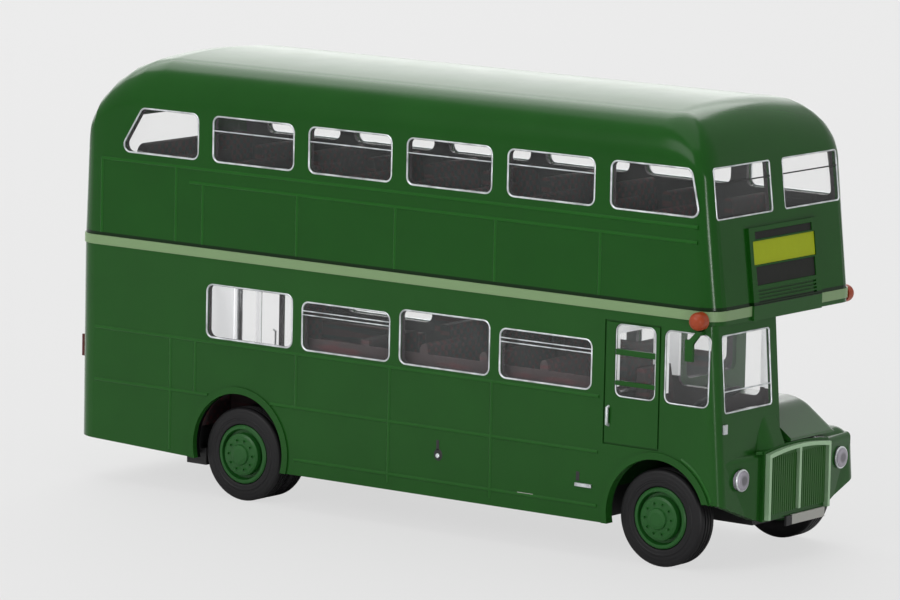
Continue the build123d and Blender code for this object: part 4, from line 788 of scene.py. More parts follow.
class Moulding(Tree):
    """Round beading that follows every path of a mesh of edges."""

    def __init__(self) -> None:
        """Builds the tree: edges to curves to a round bead."""
        super().__init__("round_moulding", {"Radius": "NodeSocketFloat", "Sides": "NodeSocketInt"})
        circle = {"Resolution": self.given["Sides"], "Radius": self.given["Radius"]}
        profile = self.out("GeometryNodeCurvePrimitiveCircle", {"mode": "RADIUS"}, circle)
        path = self.out("GeometryNodeMeshToCurve", None, {"Mesh": self.given["Geometry"]})
        swept = {"Curve": path, "Profile Curve": profile, "Fill Caps": True}
        self.close(self.out("GeometryNodeCurveToMesh", None, swept))

    def run(self, routes: Iterable[Route], radius: float, finish: Finish, sides: int) -> Mesh:
        """Beads of one radius along routes.

        Args:
            routes: each route's points, and whether it closes.
            radius: the bead's radius in millimetres.
            finish: the bead's finish.
            sides: the faces round the bead.

        Returns:
            The beads as one mesh.
        """
        points: Path = []
        edges: list[tuple[int, int]] = []
        for path, closed in routes:
            first = len(points)
            points.extend(path)
            edges.extend((first + step, first + step + 1) for step in range(len(path) - 1))
            if closed:
                edges.append((first + len(path) - 1, first))
        mesh = self.grow(mesh_mm("paths", points, edges), {"Radius": radius * MM, "Sides": sides}, finish)
        turn_outwards(mesh, crease=60.0)
        return mesh


class StudRing(Tree):
    """Wheel nuts in a ring about an axle."""

    def __init__(self) -> None:
        """Builds the tree: nuts on a circle, turned to face along Y and moved to the wheel."""
        lengths = {name: "NodeSocketFloat" for name in ("Pitch Radius", "Nut Radius", "Nut Height")}
        super().__init__("stud_ring", {"Count": "NodeSocketInt", **lengths, "Centre": "NodeSocketVector"})
        circle = {"Vertices": self.given["Count"], "Radius": self.given["Pitch Radius"]}
        radius = self.given["Nut Radius"]
        hexagon = {
            "Vertices": 6, "Radius Top": radius, "Radius Bottom": radius, "Depth": self.given["Nut Height"],
        }
        spread = {
            "Points": self.out("GeometryNodeMeshCircle", None, circle),
            "Instance": self.out("GeometryNodeMeshCone", None, hexagon),
        }
        turn = {
            "Geometry": self.out("GeometryNodeInstanceOnPoints", None, spread),
            "Translation": self.given["Centre"], "Rotation": (math.pi / 2, 0.0, 0.0),
        }
        self.close(self.out("GeometryNodeTransform", None, turn))


def pane(left: float, right: float, low: float, high: float, inset: float = 0.0) -> list[Flat]:
    """A rectangle's corners in order, all set in as far."""
    left, right, low, high = left + inset, right - inset, low + inset, high - inset
    return [(left, low), (right, low), (right, high), (left, high)]


def arc(centre: Flat, radii: Flat, start: float, sweep: float, steps: int) -> list[Flat]:
    """Points along an arc of an ellipse.

    Args:
        centre: its middle.
        radii: its half width and half height.
        start, sweep: the first angle and the turn from it, in degrees.
        steps: the steps between the points.

    Returns:
        The points with both ends.
    """
    turns = [math.radians(start + sweep * step / steps) for step in range(steps + 1)]
    (across, up), (half_width, half_height) = centre, radii
    return [(across + half_width * math.cos(turn), up + half_height * math.sin(turn)) for turn in turns]


def ring(centre: Flat, radii: Flat, steps: int) -> list[Flat]:
    """Points round a whole ellipse, each one once."""
    return arc(centre, radii, 0.0, 360.0, steps)[:-1]


def rounded(corners: Sequence[Flat], radius: float, steps: int = 6) -> list[Flat]:
    """Rounds a flat outline's corners.

    Args:
        corners: the outline's corners in order.
        radius: the corner radius.
        steps: points on each corner's arc, less one.

    Returns:
        The outline with its arcs.
    """
    outline: list[Flat] = []
    for index, corner in enumerate(corners):
        here = Vector(corner)
        back = (Vector(corners[index - 1]) - here).normalized()
        ahead = (Vector(corners[(index + 1) % len(corners)]) - here).normalized()
        half_angle = math.acos(max(-1.0, min(1.0, back.dot(ahead)))) / 2
        reach = radius / math.tan(half_angle)
        start, end = here + back * reach, here + ahead * reach
        centre = here + (back + ahead).normalized() * (radius / math.sin(half_angle))
        for step in range(steps + 1):
            spoke = (start - centre).slerp(end - centre, step / steps).normalized()
            outline.append(tuple(centre + spoke * radius))
    return outline


def grip(facet: Facet, along: float, heights: Flat, proud: Flat, slope: float) -> Route:
    """An upright handle on two sloping feet.

    Args:
        facet: the face that it stands on.
        along: its place along the face.
        heights: its foot and head.
        proud: how far out of the face its ends and its middle lie.
        slope: the rise of each foot.

    Returns:
        The handle's open route.
    """
    (low, high), (root, reach) = heights, proud
    corners = ((low, root), (low + slope, reach), (high - slope, reach), (high, root))
    return [facet.at(along, height, out) for height, out in corners], False


# A plate's face, its outline, and its foot and head measured out of the face
Slab = tuple[Facet, Sequence[Flat], float, float]


def plates(name: str, slabs: Sequence[Slab], easing: float = 0.05) -> Mesh:
    """Flat plates with eased edges on faces of the bus.

    Args:
        name: the mesh's name.
        slabs: the plates.
        easing: how far their edges are eased at most.

    Returns:
        The plates as one mesh.
    """
    points: Path = []
    faces: list[tuple[int, ...]] = []
    for facet, outline, foot, head in slabs:
        first, count = len(points), len(outline)
        ease = min(easing, (head - foot) / 2)
        middle = Vector((sum(u for u, _ in outline), sum(v for _, v in outline))) / count
        for level, inset in ((foot, 0.0), (head - ease, 0.0), (head, ease)):
            for flat in outline:
                spoke = Vector(flat) - middle
                eased = middle + spoke * (1 - inset / max(spoke.length, ease))
                points.append(facet.at(eased.x, eased.y, level))
        for low in (first, first + count):
            for step in range(count):
                ahead = (step + 1) % count
                faces.append((low + step, low + ahead, low + count + ahead, low + count + step))
        faces.append(tuple(range(first, first + count)))
        faces.append(tuple(range(first + 2 * count, first + 3 * count)))
    mesh = mesh_mm(name, points, (), faces)
    turn_outwards(mesh)
    return mesh


def lathe(name: str, profile: Sequence[Flat], axle: Vector, segments: int = 72) -> Mesh:
    """Turns a closed section about an axle that lies along Y.

    Args:
        name: the mesh's name.
        profile: radius and place along Y of each corner of the section.
        axle: a point on the axle.
        segments: the steps round it.

    Returns:
        The turned mesh.
    """
    points: Path = []
    faces: list[tuple[int, ...]] = []
    count = len(profile)
    for step in range(segments):
        angle = 2 * math.pi * step / segments
        here, beyond = step * count, (step + 1) % segments * count
        for corner, (radius, along) in enumerate(profile):
            ahead_x, rise = radius * math.cos(angle), radius * math.sin(angle)
            points.append(Vector((axle.x + ahead_x, along, axle.z + rise)))
            ahead = (corner + 1) % count
            faces.append((here + corner, here + ahead, beyond + ahead, beyond + corner))
    mesh = mesh_mm(name, points, (), faces)
    turn_outwards(mesh, crease=25.0)
    return mesh


@dataclass
class Workshop:
    """Turns meshes into pieces that ride on the bus, and keeps count of them."""

    moulding: Moulding = field(default_factory=Moulding)
    count: int = 0

    def add(self, name: str, mesh: Mesh, finish: Finish, rider: Rider = Rider.SHELL,
            replaces: Sequence[str] = ()) -> None:
        """Makes a piece of a mesh.

        Args:
            name: the piece's name.
            mesh: its mesh, already in place.
            finish: its finish.
            rider: the body that it moves with.
            replaces: CAD nodes that it stands for.
        """
        mesh.materials.clear()
        mesh.materials.append(finish.material())
        piece = put(name, mesh)
        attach(piece, rider.value)
        if replaces:
            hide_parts(*replaces)
        self.count += 1
        LOG.info("%s: %d faces on %s", name, len(mesh.polygons), rider.value)

    def bead(self, name: str, routes: Iterable[Route], radius: float, finish: Finish,
             sides: int = 10) -> None:
        """Adds round beads along routes as one piece of the shell."""
        self.add(name, self.moulding.run(routes, radius, finish, sides), finish)

    def plate(self, name: str, slabs: Sequence[Slab], finish: Finish) -> None:
        """Adds flat plates as one piece of the shell."""
        self.add(name, plates(name, slabs), finish)


@dataclass
class SubAssembly:
    """A group of pieces, with what they are made from."""

    shop: Workshop
    datum: Datum
    palette: Palette

    def build(self) -> None:
        """Adds the group's pieces."""
        raise NotImplementedError


@dataclass
class SmoothShells(SubAssembly):
    """Merged copies of mouldings, whose domes and corners are shaded as curves."""

    nodes: tuple[str, ...] = ("upper_body", "bonnet")
    crease: float = 22.0

    def smooth(self, node: str) -> Mesh:
        """A node's mesh with its doubles merged and its normals weighted by area."""
        mesh = frame["nodes"][node].data.copy()
        turn_outwards(mesh, self.crease)
        return modified(mesh, "WEIGHTED_NORMAL", {"keep_sharp": True})

    def build(self) -> None:
        """Adds a smooth copy for each node."""
        for node in self.nodes:
            self.shop.add(f"{node}_smooth", self.smooth(node), self.palette.of_node(node), replaces=(node,))


@dataclass
class WindowFrames(SubAssembly):
    """Bright edges of every window, and the rails of the opening lights."""

    bay: float = 14.07
    corner: float = 0.9
    front_corner: float = 0.4
    edge: float = 0.12
    front_edge: float = 0.1
    bar: float = 0.08
    inset: float = 0.04
    recess: float = 0.07
    upper_edge: float = 42.2
    upper_pillar: float = 2.12
    upper_bays: int = 6
    upper_heights: Flat = (39.5, 44.9)
    upper_rail: float = 43.15
    front_slant: float = 1.2
    rear_slant: float = 3.4
    lower_edge: float = 28.3
    lower_pillar: float = 1.37
    lower_bays: int = 4
    lower_heights: Flat = (18.9, 25.2)
    opening_drop: float = 0.6
    lower_rails: Flat = (23.05, 23.5)
    front_heights: Flat = (39.2, 44.9)
    front_reach: Flat = (1.2, 12.3)
    front_rail: float = 1.75
    screen_rail: float = 2.4
    rear_heights: Flat = (37.2, 42.6)
    rear_reach: float = 8.6
    rear_depth: float = 0.78
    platform_reach: Flat = (1.6, 10.6)

    def upper_outline(self, bay: int) -> list[Flat]:
        """One upper side window, of which the first and last have a slanted end."""
        right = self.upper_edge - bay * self.bay
        left = right - self.bay + self.upper_pillar
        (left, low), (right, _), (_, high), _ = pane(left, right, *self.upper_heights, self.inset)
        head_right = right - (self.front_slant if bay == 0 else 0.0)
        head_left = left + (self.rear_slant if bay == self.upper_bays - 1 else 0.0)
        return [(left, low), (right, low), (head_right, high), (head_left, high)]

    def lower_outline(self, bay: int) -> list[Flat]:
        """One saloon side window, lower at its head where it opens."""
        right = self.lower_edge - bay * self.bay
        left = right - self.bay + self.lower_pillar
        low, high = self.lower_heights
        return pane(left, right, low, high - (self.opening_drop if bay % 2 == 0 else 0.0), self.inset)

    def front_outlines(self) -> list[list[Flat]]:
        """Both upper front windows on the raked face."""
        low, high = ((z - self.datum.split_z) / math.cos(FRONT_RAKE) for z in self.front_heights)
        inner, outer = self.front_reach
        return [pane(*sides, low, high, self.inset) for sides in ((-outer, -inner), (inner, outer))]

    def screen_outline(self) -> list[Flat]:
        """The windscreen on the leaning cab front."""
        low, high = box_mm("windscreen")
        return pane(low.y, high.y, 0.0, (high.z - low.z) / self.datum.cab_front.up.z, self.inset)

    def loop(self, facet: Facet, outline: Sequence[Flat], corner: float, depth: float) -> Route:
        """A window's closed edge, set into a face by a depth."""
        return facet.path(rounded(outline, corner - self.inset), -depth), True

    def rail(self, facet: Facet, outline: Sequence[Flat], height: float) -> Route:
        """A level rail across a window."""
        return facet.path([(outline[0][0], height), (outline[1][0], height)], -self.recess), False

    def flank_edges(self, facet: Facet) -> list[Route]:
        """The edges of one side's windows."""
        outlines = [self.upper_outline(bay) for bay in range(self.upper_bays)]
        outlines += [self.lower_outline(bay) for bay in range(self.lower_bays)]
        return [self.loop(facet, outline, self.corner, self.recess) for outline in outlines]

    def flank_rails(self, facet: Facet) -> list[Route]:
        """The rails of one side's opening lights."""
        upper = [self.upper_outline(bay) for bay in range(1, self.upper_bays - 1)]
        rails = [self.rail(facet, outline, self.upper_rail) for outline in upper]
        for bay in range(0, self.lower_bays, 2):
            rails += [self.rail(facet, self.lower_outline(bay), height) for height in self.lower_rails]
        return rails

    def front_edges(self) -> list[Route]:
        """The edges of the upper front windows and the windscreen."""
        front, screen = self.datum.upper_front, self.datum.cab_front
        faced = [(front, outline) for outline in self.front_outlines()] + [(screen, self.screen_outline())]
        return [self.loop(facet, outline, self.front_corner, self.recess) for facet, outline in faced]

    def rear_edges(self) -> list[Route]:
        """The edges of the rear windows, of which the upper one is in the dome."""
        upper = pane(-self.rear_reach, self.rear_reach, *self.rear_heights, self.inset)
        platform = pane(*self.platform_reach, *self.lower_heights, self.inset)
        depths = ((upper, self.rear_depth), (platform, self.recess))
        return [self.loop(self.datum.rear, outline, self.corner, depth) for outline, depth in depths]

    def build(self) -> None:
        """Adds the edges of the sides, the fronts and the back, and the rails."""
        silver, front = self.palette.silver, self.datum.upper_front
        for side in Side:
            facet = self.datum.flank(side)
            self.shop.bead(f"window_edges_{side.label}", self.flank_edges(facet), self.edge, silver)
            self.shop.bead(f"window_rails_{side.label}", self.flank_rails(facet), self.bar, silver)
        self.shop.bead("window_edges_front", self.front_edges(), self.front_edge, silver)
        panes = self.front_outlines()
        rails = [self.rail(front, outline, outline[2][1] - self.front_rail) for outline in panes]
        self.shop.bead("front_window_rails", rails, self.bar, self.palette.black)
        rail = self.rail(self.datum.cab_front, self.screen_outline(), self.screen_rail)
        self.shop.bead("windscreen_rail", [rail], self.bar, silver)
        self.shop.bead("window_edges_ends", self.rear_edges(), self.edge, silver)


@dataclass
class Beading(SubAssembly):
    """Raised beads that divide the body panels, in a lighter green that is a painted highlight."""

    radius: float = 0.26
    sides: int = 8
    sunk: float = 0.12
    sill_z: float = 38.5
    panel_z: float = 36.8
    foot_rise: float = 0.3
    waist_z: float = 18.35
    middle_z: float = 12.1
    skirt_z: float = 6.0
    hem_z: float = 5.0
    nearside_end: float = -28.0
    rear_reach: float = 10.8
    ridge_radius: float = 7.75
    ridge_arc: Flat = (21.0, 45.0)
    ridge_steps: int = 24
    # Height, rear end and front end of each level bead
    upper_levels: tuple[Triple, ...] = ((sill_z, -42.6, 42.0), (panel_z, -29.4, 42.0))
    lower_levels: tuple[Triple, ...] = (
        (waist_z, -43.4, 29.4), (middle_z, -43.4, -26.2), (middle_z, -17.0, 29.4), (skirt_z, -13.4, 29.4),
    )
    # Place along the side of each upright bead, with its head on the upper deck and its foot on the lower
    upper_stiles: tuple[Flat, ...] = (
        (-42.6, sill_z), (-31.4, sill_z), (-27.4, panel_z), (-13.5, panel_z),
        (0.63, panel_z), (14.67, panel_z), (29.04, panel_z),
    )
    lower_stiles: tuple[Flat, ...] = (
        (-31.9, hem_z), (-28.2, middle_z), (-13.25, middle_z), (0.24, hem_z), (14.66, hem_z),
    )

    def line(self, facet: Facet, start: Flat, end: Flat) -> Route:
        """A straight bead between two places on a face."""
        return facet.path((start, end), -self.sunk), False

    def ridge(self, facet: Facet) -> Route:
        """A ridge round the front quarter of the front wheel arch."""
        axle, radii = centre_mm("front_axle"), (self.ridge_radius, self.ridge_radius)
        flats = arc((axle.x, axle.z), radii, *self.ridge_arc, self.ridge_steps)
        return facet.path(flats, -self.sunk), False

    def upper_beads(self, facet: Facet) -> list[Route]:
        """The upper deck's beads on one side."""
        foot = self.datum.split_z + self.foot_rise
        beads = [self.line(facet, (start, z), (end, z)) for z, start, end in self.upper_levels]
        return beads + [self.line(facet, (x, foot), (x, head)) for x, head in self.upper_stiles]

    def lower_beads(self, facet: Facet, rear_end: float) -> list[Route]:
        """The lower deck's beads on one side, ahead of its rear end."""
        levels = [(z, max(start, rear_end), end) for z, start, end in self.lower_levels if end > rear_end]
        stiles = [(x, foot) for x, foot in self.lower_stiles if x > rear_end]
        beads = [self.line(facet, (start, z), (end, z)) for z, start, end in levels]
        beads += [self.line(facet, (x, foot), (x, self.waist_z)) for x, foot in stiles]
        return beads + [self.ridge(facet)]

    def build(self) -> None:
        """Adds the beads across the rear and of both decks on both sides."""
        # Both bead finishes are lighter copies of the body greens, a painted highlight
        upper, lower, reach = self.palette.bead_upper, self.palette.bead_lower, self.rear_reach
        rear = [self.line(self.datum.rear, (-reach, z), (reach, z)) for z in (self.middle_z, self.waist_z)]
        self.shop.bead("rear_beads", rear, self.radius, lower, self.sides)
        for side in Side:
            facet = self.datum.flank(side)
            rear_end = self.nearside_end if side is Side.NEARSIDE else -math.inf
            decks = (
                ("upper", self.upper_beads(facet), upper),
                ("lower", self.lower_beads(facet, rear_end), lower),
            )
            for deck, beads, finish in decks:
                self.shop.bead(f"{deck}_beads_{side.label}", beads, self.radius, finish, self.sides)


@dataclass
class CabTrim(SubAssembly):
    """Door bars, handle, window edges and lamp rims about the cab, and fittings of the nose."""

    windows: tuple[Flat, Flat] = ((31.4, 36.9), (38.0, 44.0))
    window_heights: Flat = (18.65, 26.75)
    window_inset: float = 0.1
    window_corner: float = 0.8
    edge_radius: float = 0.09
    edge_depth: float = 0.12
    bar_heights: tuple[Flat, Flat] = ((23.3, 23.95), (19.9, 20.4))
    bar_inset: float = 0.05
    bar_depths: Flat = (-0.5, -0.02)
    handle_x: float = 30.7
    handle_heights: Flat = (15.3, 17.4)
    handle_proud: Flat = (-0.1, 0.32)
    handle_slope: float = 0.15
    handle_radius: float = 0.2
    rim_radius: float = 0.13
    rim_setback: float = 0.3
    rim_steps: int = 40
    bracket: Rect = (-2.1, -1.0, 4.3, 5.4)
    bracket_depth: float = 0.3
    catch_ends: tuple[Triple, Triple] = ((45.9, -7.1, 13.0), (46.5, -6.75, 13.1))
    catch_radius: float = 0.2

    def door_bars(self, facet: Facet) -> list[Slab]:
        """Two bars across the cab door's window."""
        left, right = self.windows[0]
        sides = (left + self.bar_inset, right - self.bar_inset)
        return [(facet, pane(*sides, *heights), *self.bar_depths) for heights in self.bar_heights]

    def window_edges(self, facet: Facet) -> list[Route]:
        """The edges of the cab's two side windows."""
        gap, corner = self.window_inset, self.window_corner
        panes = [pane(left + gap, right - gap, *self.window_heights) for left, right in self.windows]
        return [(facet.path(rounded(outline, corner), -self.edge_depth), True) for outline in panes]

    def lamp_rims(self) -> list[Route]:
        """A ring round each headlamp."""
        low, high = box_mm("headlamps")
        radius, middle = (high.z - low.z) / 2, (low.z + high.z) / 2
        facet = Facet.forward(Vector((high.x - self.rim_setback, 0, 0)))
        centres = [(way.value * (high.y - radius), middle) for way in Side]
        return [(facet.path(ring(centre, (radius, radius), self.rim_steps)), True) for centre in centres]

    def build(self) -> None:
        """Adds the cab's trim and the nose's fittings."""
        facet, silver = self.datum.flank(Side.OFFSIDE), self.palette.silver
        self.shop.plate("cab_door_bars", self.door_bars(facet), self.palette.lower_green)
        handle = grip(facet, self.handle_x, self.handle_heights, self.handle_proud, self.handle_slope)
        self.shop.bead("cab_door_handle", [handle], self.handle_radius, silver, sides=12)
        self.shop.bead("cab_window_edges", self.window_edges(facet), self.edge_radius, silver)
        self.shop.bead("headlamp_rims", self.lamp_rims(), self.rim_radius, silver)
        slab = (self.datum.nose, pane(*self.bracket), 0.0, self.bracket_depth)
        self.shop.plate("plate_bracket", [slab], self.palette.black)
        catch = [Vector(end) for end in self.catch_ends]
        # The catch takes the beads' lighter green, a painted highlight
        self.shop.bead("bonnet_catch", [(catch, False)], self.catch_radius, self.palette.bead_lower)


@dataclass
class DoorTrim(SubAssembly):
    """Seals between the platform doors' leaves, and a grab rail on each inner leaf."""

    seams: tuple[float, ...] = (-40.35, -36.8, -33.25)
    seal_half: float = 0.14
    seal_heights: Flat = (6.5, 25.7)
    seal_depths: Flat = (-0.6, -0.34)
    rails: Flat = (-38.2, -35.4)
    rail_heights: Flat = (10.2, 15.4)
    rail_proud: Flat = (-0.5, -0.1)
    rail_slope: float = 0.2
    rail_radius: float = 0.13

    def build(self) -> None:
        """Adds the seals and the rails to the nearside."""
        facet, half = self.datum.flank(Side.NEARSIDE), self.seal_half
        panes = [pane(x - half, x + half, *self.seal_heights) for x in self.seams]
        seals = [(facet, outline, *self.seal_depths) for outline in panes]
        self.shop.plate("door_seals", seals, self.palette.black)
        grips = [grip(facet, x, self.rail_heights, self.rail_proud, self.rail_slope) for x in self.rails]
        self.shop.bead("door_grab_rails", grips, self.rail_radius, self.palette.silver)


@dataclass
class SkirtFittings(SubAssembly):
    """Filler, step and blank plate along the offside skirt, with flat black plates as painted shade in its
    recesses.
    """

    root: float = -0.1
    filler: Flat = (7.35, 9.1)
    filler_radii: Flat = (0.62, 0.713)
    filler_steps: int = 28
    filler_proud: float = 0.03
    slot: Rect = (7.07, 7.47, 9.6, 10.8)
    recess: Rect = (26.5, 27.0, 8.5, 9.6)
    recess_proud: float = 0.02
    step: Rect = (26.5, 28.7, 7.95, 8.35)
    step_proud: float = 0.3
    cap: Flat = (7.35, 9.0)
    cap_radii: Flat = (0.26, 0.26)
    cap_steps: int = 20
    cap_proud: float = 0.2
    label: Rect = (18.5, 20.7, 5.85, 6.25)
    label_proud: float = 0.06

    def build(self) -> None:
        """Adds the fittings to the offside."""
        facet = self.datum.flank(Side.OFFSIDE)
        filler = ring(self.filler, self.filler_radii, self.filler_steps)
        cap = ring(self.cap, self.cap_radii, self.cap_steps)
        rects = (self.slot, self.recess, self.step, self.label)
        slot, recess, step, label = (pane(*rect) for rect in rects)
        # Painted shade: flat black plates where the filler, its slot and the recess by the step are sunk
        sunk = ((filler, self.filler_proud), (slot, self.filler_proud), (recess, self.recess_proud))
        groups = (
            ("skirt_recess_shade", self.palette.black, sunk),
            ("skirt_step", self.palette.silver, ((step, self.step_proud), (cap, self.cap_proud))),
            ("skirt_plate", self.palette.plate, ((label, self.label_proud),)),
        )
        for name, finish, shapes in groups:
            self.shop.plate(name, [(facet, outline, self.root, proud) for outline, proud in shapes], finish)


@dataclass
class Wheels(SubAssembly):
    """Tyres with grooved treads, and nuts on the hubs."""

    bead_radius: float = 3.47
    wall_drop: float = 1.35
    twin_gap: float = 0.35
    # Corners of a tyre's face: radius from the bead, the wall's ring or the tread, and depth in
    bead_corners: tuple[Flat, ...] = ((0.0, 0.26), (0.12, 0.1), (0.4, 0.04))
    wall_corners: tuple[Flat, ...] = ((-0.12, 0.04), (-0.06, 0.0), (0.1, 0.0), (0.16, 0.05))
    shoulder_corners: tuple[Flat, ...] = ((-0.5, 0.08), (-0.2, 0.16), (-0.05, 0.3), (0.0, 0.42))
    grooves: int = 3
    groove_depth: float = 0.16
    groove_width: float = 0.22
    groove_taper: float = 0.6
    nuts: int = 10
    nut_pitch: float = 1.75
    nut_radius: float = 0.13
    nut_height: float = 0.3
    nut_depth: float = 0.33

    def face(self, radius: float) -> list[Flat]:
        """The outer face's corners from the bead to the tread: radius and depth in."""
        bases = (
            (self.bead_radius, self.bead_corners),
            (radius - self.wall_drop, self.wall_corners),
            (radius, self.shoulder_corners),
        )
        return [(base + rise, depth) for base, corners in bases for rise, depth in corners]

    def back(self, radius: float) -> list[Flat]:
        """The inner face's corners from the tread to the bead, which is plainer."""
        shoulder = [(radius + rise, depth) for rise, depth in reversed(self.shoulder_corners)]
        ends = (self.bead_corners[-1], self.bead_corners[0])
        bead = [(self.bead_radius + rise, depth) for rise, depth in ends]
        return [*shoulder, (radius - self.wall_drop, 0.0), *bead]

    def tread(self, start: float, width: float, radius: float) -> list[Flat]:
        """One tyre's section, from its outer bead to its inner bead.

        Args:
            start: the distance in from the wheel's outer face.
            width: the tyre's width.
            radius: the tread's radius.

        Returns:
            Radius and distance in of each corner.
        """
        section = [(corner, start + depth) for corner, depth in self.face(radius)]
        shoulder, half = self.shoulder_corners[-1][1], self.groove_width / 2
        pitch = (width - 2 * shoulder) / (self.grooves + 1)
        floor, narrow = radius - self.groove_depth, half * self.groove_taper
        for groove in range(1, self.grooves + 1):
            middle = start + shoulder + groove * pitch
            section += [(radius, middle - half), (floor, middle - narrow)]
            section += [(floor, middle + narrow), (radius, middle + half)]
        return section + [(corner, start + width - depth) for corner, depth in self.back(radius)]

    def tyre(self, node: str, side: Side, twin: bool) -> Mesh:
        """The tyre, or the pair whose walls are joined, that stands for a CAD node."""
        low, high = box_mm(node)
        radius, width = (high.z - low.z) / 2, high.y - low.y
        section = self.tread(0.0, width, radius)
        if twin:
            single = (width - self.twin_gap) / 2
            outer, inner = (self.tread(start, single, radius) for start in (0.0, width - single))
            section = outer[:-2] + inner[len(self.bead_corners):]
        reach = max(abs(low.y), abs(high.y))
        profile = [(corner, side.value * (reach - depth)) for corner, depth in section]
        return lathe(node, profile, (low + high) / 2)

    def hub_nuts(self, node: str, side: Side, studs: StudRing) -> Mesh:
        """The nuts of one hub."""
        low, high = box_mm(node)
        axle, reach = (low + high) / 2, max(abs(low.y), abs(high.y))
        values = {
            "Count": self.nuts, "Pitch Radius": self.nut_pitch * MM, "Nut Radius": self.nut_radius * MM,
            "Nut Height": self.nut_height * MM,
            "Centre": (axle.x * MM, side.value * (reach - self.nut_depth) * MM, axle.z * MM),
        }
        nuts = studs.grow(mesh_mm("seed", [Vector((0, 0, 0))]), values, self.palette.hub_green)
        turn_outwards(nuts)
        return nuts

    def build(self) -> None:
        """Adds four tyres and the nuts of four hubs."""
        studs, green = StudRing(), self.palette.hub_green
        ends = (
            ("front", Rider.FRONT_WHEELS, self.palette.front_rubber, False),
            ("rear", Rider.REAR_WHEELS, self.palette.rear_rubber, True),
        )
        for end, rider, rubber, twin in ends:
            for side in Side:
                tyre = f"{end}_tyre_{side.label}"
                self.shop.add(f"{tyre}_grooved", self.tyre(tyre, side, twin), rubber, rider, (tyre,))
                nuts = self.hub_nuts(f"{end}_hub_{side.label}", side, studs)
                self.shop.add(f"{end}_hub_nuts_{side.label}", nuts, green, rider)


@dataclass
class Saloons(SubAssembly):
    """The saloon's sills, the rear bench, the platform's partition and the rails on the seats."""

    sill: Rect = (-12.8, 28.0, 17.6, 20.1)
    sill_depths: Flat = (-1.95, -1.7)
    bench_x: float = -40.4
    bench: Rect = (-8.4, 11.6, 32.0, 39.7)
    bench_depth: float = 1.6
    bench_corner: float = 1.2
    partition_x: float = -28.9
    partition: Rect = (6.2, 12.8, 8.8, 24.2)
    partition_depth: float = 0.6
    rail_radius: float = 0.5
    rail_reach: Flat = (2.9, 12.2)
    pitch: float = 8.4
    stair_x: float = -36.0
    # First row's place, height and number of rows on the upper and lower decks
    rows: tuple[tuple[float, float, int], ...] = ((34.55, 38.95, 9), (20.55, 20.75, 3))

    def seat_rails(self) -> list[Route]:
        """A rail on each seat's back, but for the offside seats where the stairs come up."""
        rails = []
        for first, height, count in self.rows:
            for back in (first - row * self.pitch for row in range(count)):
                facet = Facet.forward(Vector((back, 0, 0)))
                for side in Side:
                    if side is Side.NEARSIDE or back >= self.stair_x:
                        ends = [(side.value * reach, height) for reach in self.rail_reach]
                        rails.append((facet.path(ends), False))
        return rails

    def build(self) -> None:
        """Adds the sills, the bench with the partition, and the seat rails."""
        seats = self.palette.seats
        sills = [(self.datum.flank(side), pane(*self.sill), *self.sill_depths) for side in Side]
        self.shop.plate("saloon_sills", sills, seats)
        bench, partition = rounded(pane(*self.bench), self.bench_corner), pane(*self.partition)
        backs = [
            (Facet.forward(Vector((self.bench_x, 0, 0))), bench, -self.bench_depth, 0.0),
            (Facet.forward(Vector((self.partition_x, 0, 0))), partition, -self.partition_depth, 0.0),
        ]
        self.shop.plate("rear_bench_and_partition", backs, seats)
        self.shop.bead("seat_rails", self.seat_rails(), self.rail_radius, seats, sides=12)


@dataclass(frozen=True)
class Viewpoint:
    """The camera, set by its bearing from a point in the middle of the bus."""

    azimuth: float = 36.393
    elevation: float = 8.522
    roll: float = 1.186
    distance: float = 682.281
    target: Triple = (-1.738, 0.0, 24.362)
    lens: float = 235.712
    sensor: float = 36.0
    near: float = 10.0

    def build(self) -> None:
        """Adds the camera and makes it the scene's own."""
        bearing, height, tilt = (math.radians(a) for a in (self.azimuth, self.elevation, self.roll))
        level = math.cos(height)
        right = Vector((math.cos(bearing), math.sin(bearing), 0))
        back = Vector((math.sin(bearing) * level, -math.cos(bearing) * level, math.sin(height)))
        up = back.cross(right)
        rolled_right = right * math.cos(tilt) + up * math.sin(tilt)
        rolled_up = up * math.cos(tilt) - right * math.sin(tilt)
        lens = bpy.data.cameras.new("camera")
        lens.lens = self.lens
        lens.sensor_width = self.sensor
        lens.sensor_fit = "HORIZONTAL"
        lens.clip_start = self.near * MM
        camera = put("camera", lens)
        place = (Vector(self.target) + back * self.distance) * MM
        turn = Matrix((rolled_right, rolled_up, back)).transposed().to_4x4()
        camera.matrix_world = Matrix.Translation(place) @ turn
        bpy.context.scene.camera = camera


@dataclass(frozen=True)
class Lamp:
    """A soft rectangular lamp, with its place and size in metres."""

    name: str
    place: Triple
    size: Flat
    watts: float

    def build(self, target: Vector) -> None:
        """Adds the lamp and points it at a target."""
        light = bpy.data.lights.new(self.name, "AREA")
        light.shape = "RECTANGLE"
        light.size, light.size_y = self.size
        light.energy = self.watts
        holder = put(self.name, light)
        holder.location = self.place
        holder.rotation_euler = (target - Vector(self.place)).to_track_quat("-Z", "Y").to_euler()


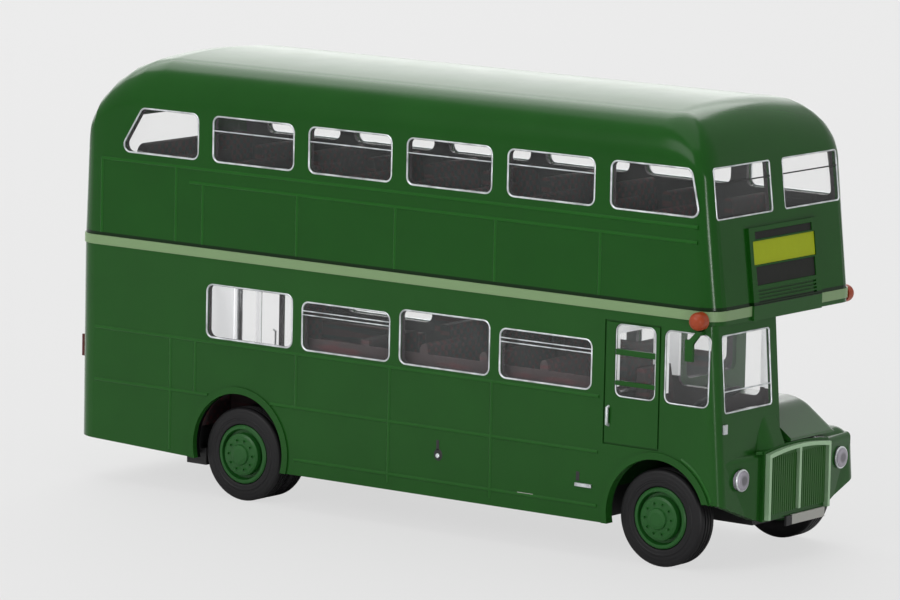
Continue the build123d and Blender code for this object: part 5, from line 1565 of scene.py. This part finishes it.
@dataclass(frozen=True)
class Studio:
    """Pale floor, backdrop, soft lamps and even surroundings."""

    floor_colour: Colour = srgb(226, 226, 226)
    floor_shade: float = 0.985
    floor_cloud: float = 60.0
    floor_roughness: Flat = (0.6, 0.1)
    floor_specular: float = 0.2
    floor_reach: float = 2000.0
    glow_colour: Colour = srgb(228, 228, 228)
    glow_share: float = 0.84
    air_colour: Colour = srgb(236, 236, 236)
    air_light: float = 0.32
    target: Triple = (0.0, 0.0, 0.025)
    lamps: tuple[Lamp, ...] = (
        Lamp("overhead", (-0.05, -0.05, 0.7), (0.9, 0.6), 2.5),
        Lamp("back_high", (-0.508, 0.437, 0.67), (1.0, 0.45), 4.7),
        Lamp("back_low", (-0.637, 0.613, 0.268), (1.0, 0.5), 1.65),
        Lamp("side", (-0.15, -0.8, 0.5), (0.6, 0.4), 3.2),
        Lamp("strip", (0.46, -0.31, 0.03), (0.035, 0.035), 0.4),
    )

    def floor(self) -> None:
        """Adds a pale floor that is as bright as the surroundings away from the shadow."""
        reach = self.floor_reach
        corners = [Vector((x, y, 0)) for x, y in pane(-reach, reach, -reach, reach)]
        mesh = mesh_mm("floor", corners, (), [(0, 1, 2, 3)])
        material, graph = new_material("studio_floor")
        cloud = graph.noise(self.floor_cloud, detail=3.0)
        dull, spread = self.floor_roughness
        lit = graph.out("ShaderNodeBsdfPrincipled", None, {
            "Base Color": graph.mix(shaded(self.floor_colour, self.floor_shade), self.floor_colour, cloud),
            "Roughness": dull + cloud * spread,
            "Specular IOR Level": self.floor_specular,
        })
        glow = graph.out("ShaderNodeEmission", None, {"Color": self.glow_colour, "Strength": 1.0})
        seen = graph.signal("ShaderNodeLightPath", output="Is Camera Ray")
        graph.surface(graph.out("ShaderNodeMixShader", None, {0: seen * self.glow_share, 1: lit, 2: glow}))
        mesh.materials.append(material)
        floor = put("floor", mesh)

    def air(self) -> None:
        """Sets the surroundings: white to the eye and in reflections, dimmer as light."""
        world = bpy.data.worlds.new("studio")
        world.use_nodes = True
        bpy.context.scene.world = world
        graph = Graph(world.node_tree)
        path = graph.node("ShaderNodeLightPath").outputs
        eye, gloss, glass = (
            Signal(graph, path[ray]) for ray in ("Is Camera Ray", "Is Glossy Ray", "Is Transmission Ray")
        )
        shown = graph.out("ShaderNodeBackground", None, {"Color": self.air_colour, "Strength": 1.0})
        dimmed = {"Color": (1.0, 1.0, 1.0), "Strength": self.air_light}
        light = graph.out("ShaderNodeBackground", None, dimmed)
        mixed = {0: eye.larger(gloss).larger(glass), 1: light, 2: shown}
        both = graph.out("ShaderNodeMixShader", None, mixed)
        graph.node("ShaderNodeOutputWorld", None, {"Surface": both})

    def build(self) -> None:
        """Adds the stage and sets plain view settings."""
        self.floor()
        self.air()
        for lamp in self.lamps:
            lamp.build(Vector(self.target))
        bpy.context.scene.view_settings.view_transform = "Standard"


def dress_nodes(palette: Palette) -> None:
    """Gives every CAD node its finish."""
    for node, thing in frame["nodes"].items():
        thing.data.materials.clear()
        thing.data.materials.append(palette.of_node(node).material())


def main() -> None:
    """Builds the finishes, the trim, the stage and the camera."""
    logging.basicConfig(level=logging.INFO, format="%(name)s: %(message)s")
    datum = Datum.from_frame()
    palette = Palette.for_bus(datum)
    shop = Workshop()
    Viewpoint().build()
    dress_nodes(palette)
    groups = (SmoothShells, WindowFrames, Beading, CabTrim, DoorTrim, SkirtFittings, Wheels, Saloons)
    for group in groups:
        group(shop, datum, palette).build()
    Studio().build()
    LOG.info("%d pieces", shop.count)


if __name__ == "__main__":
    main()
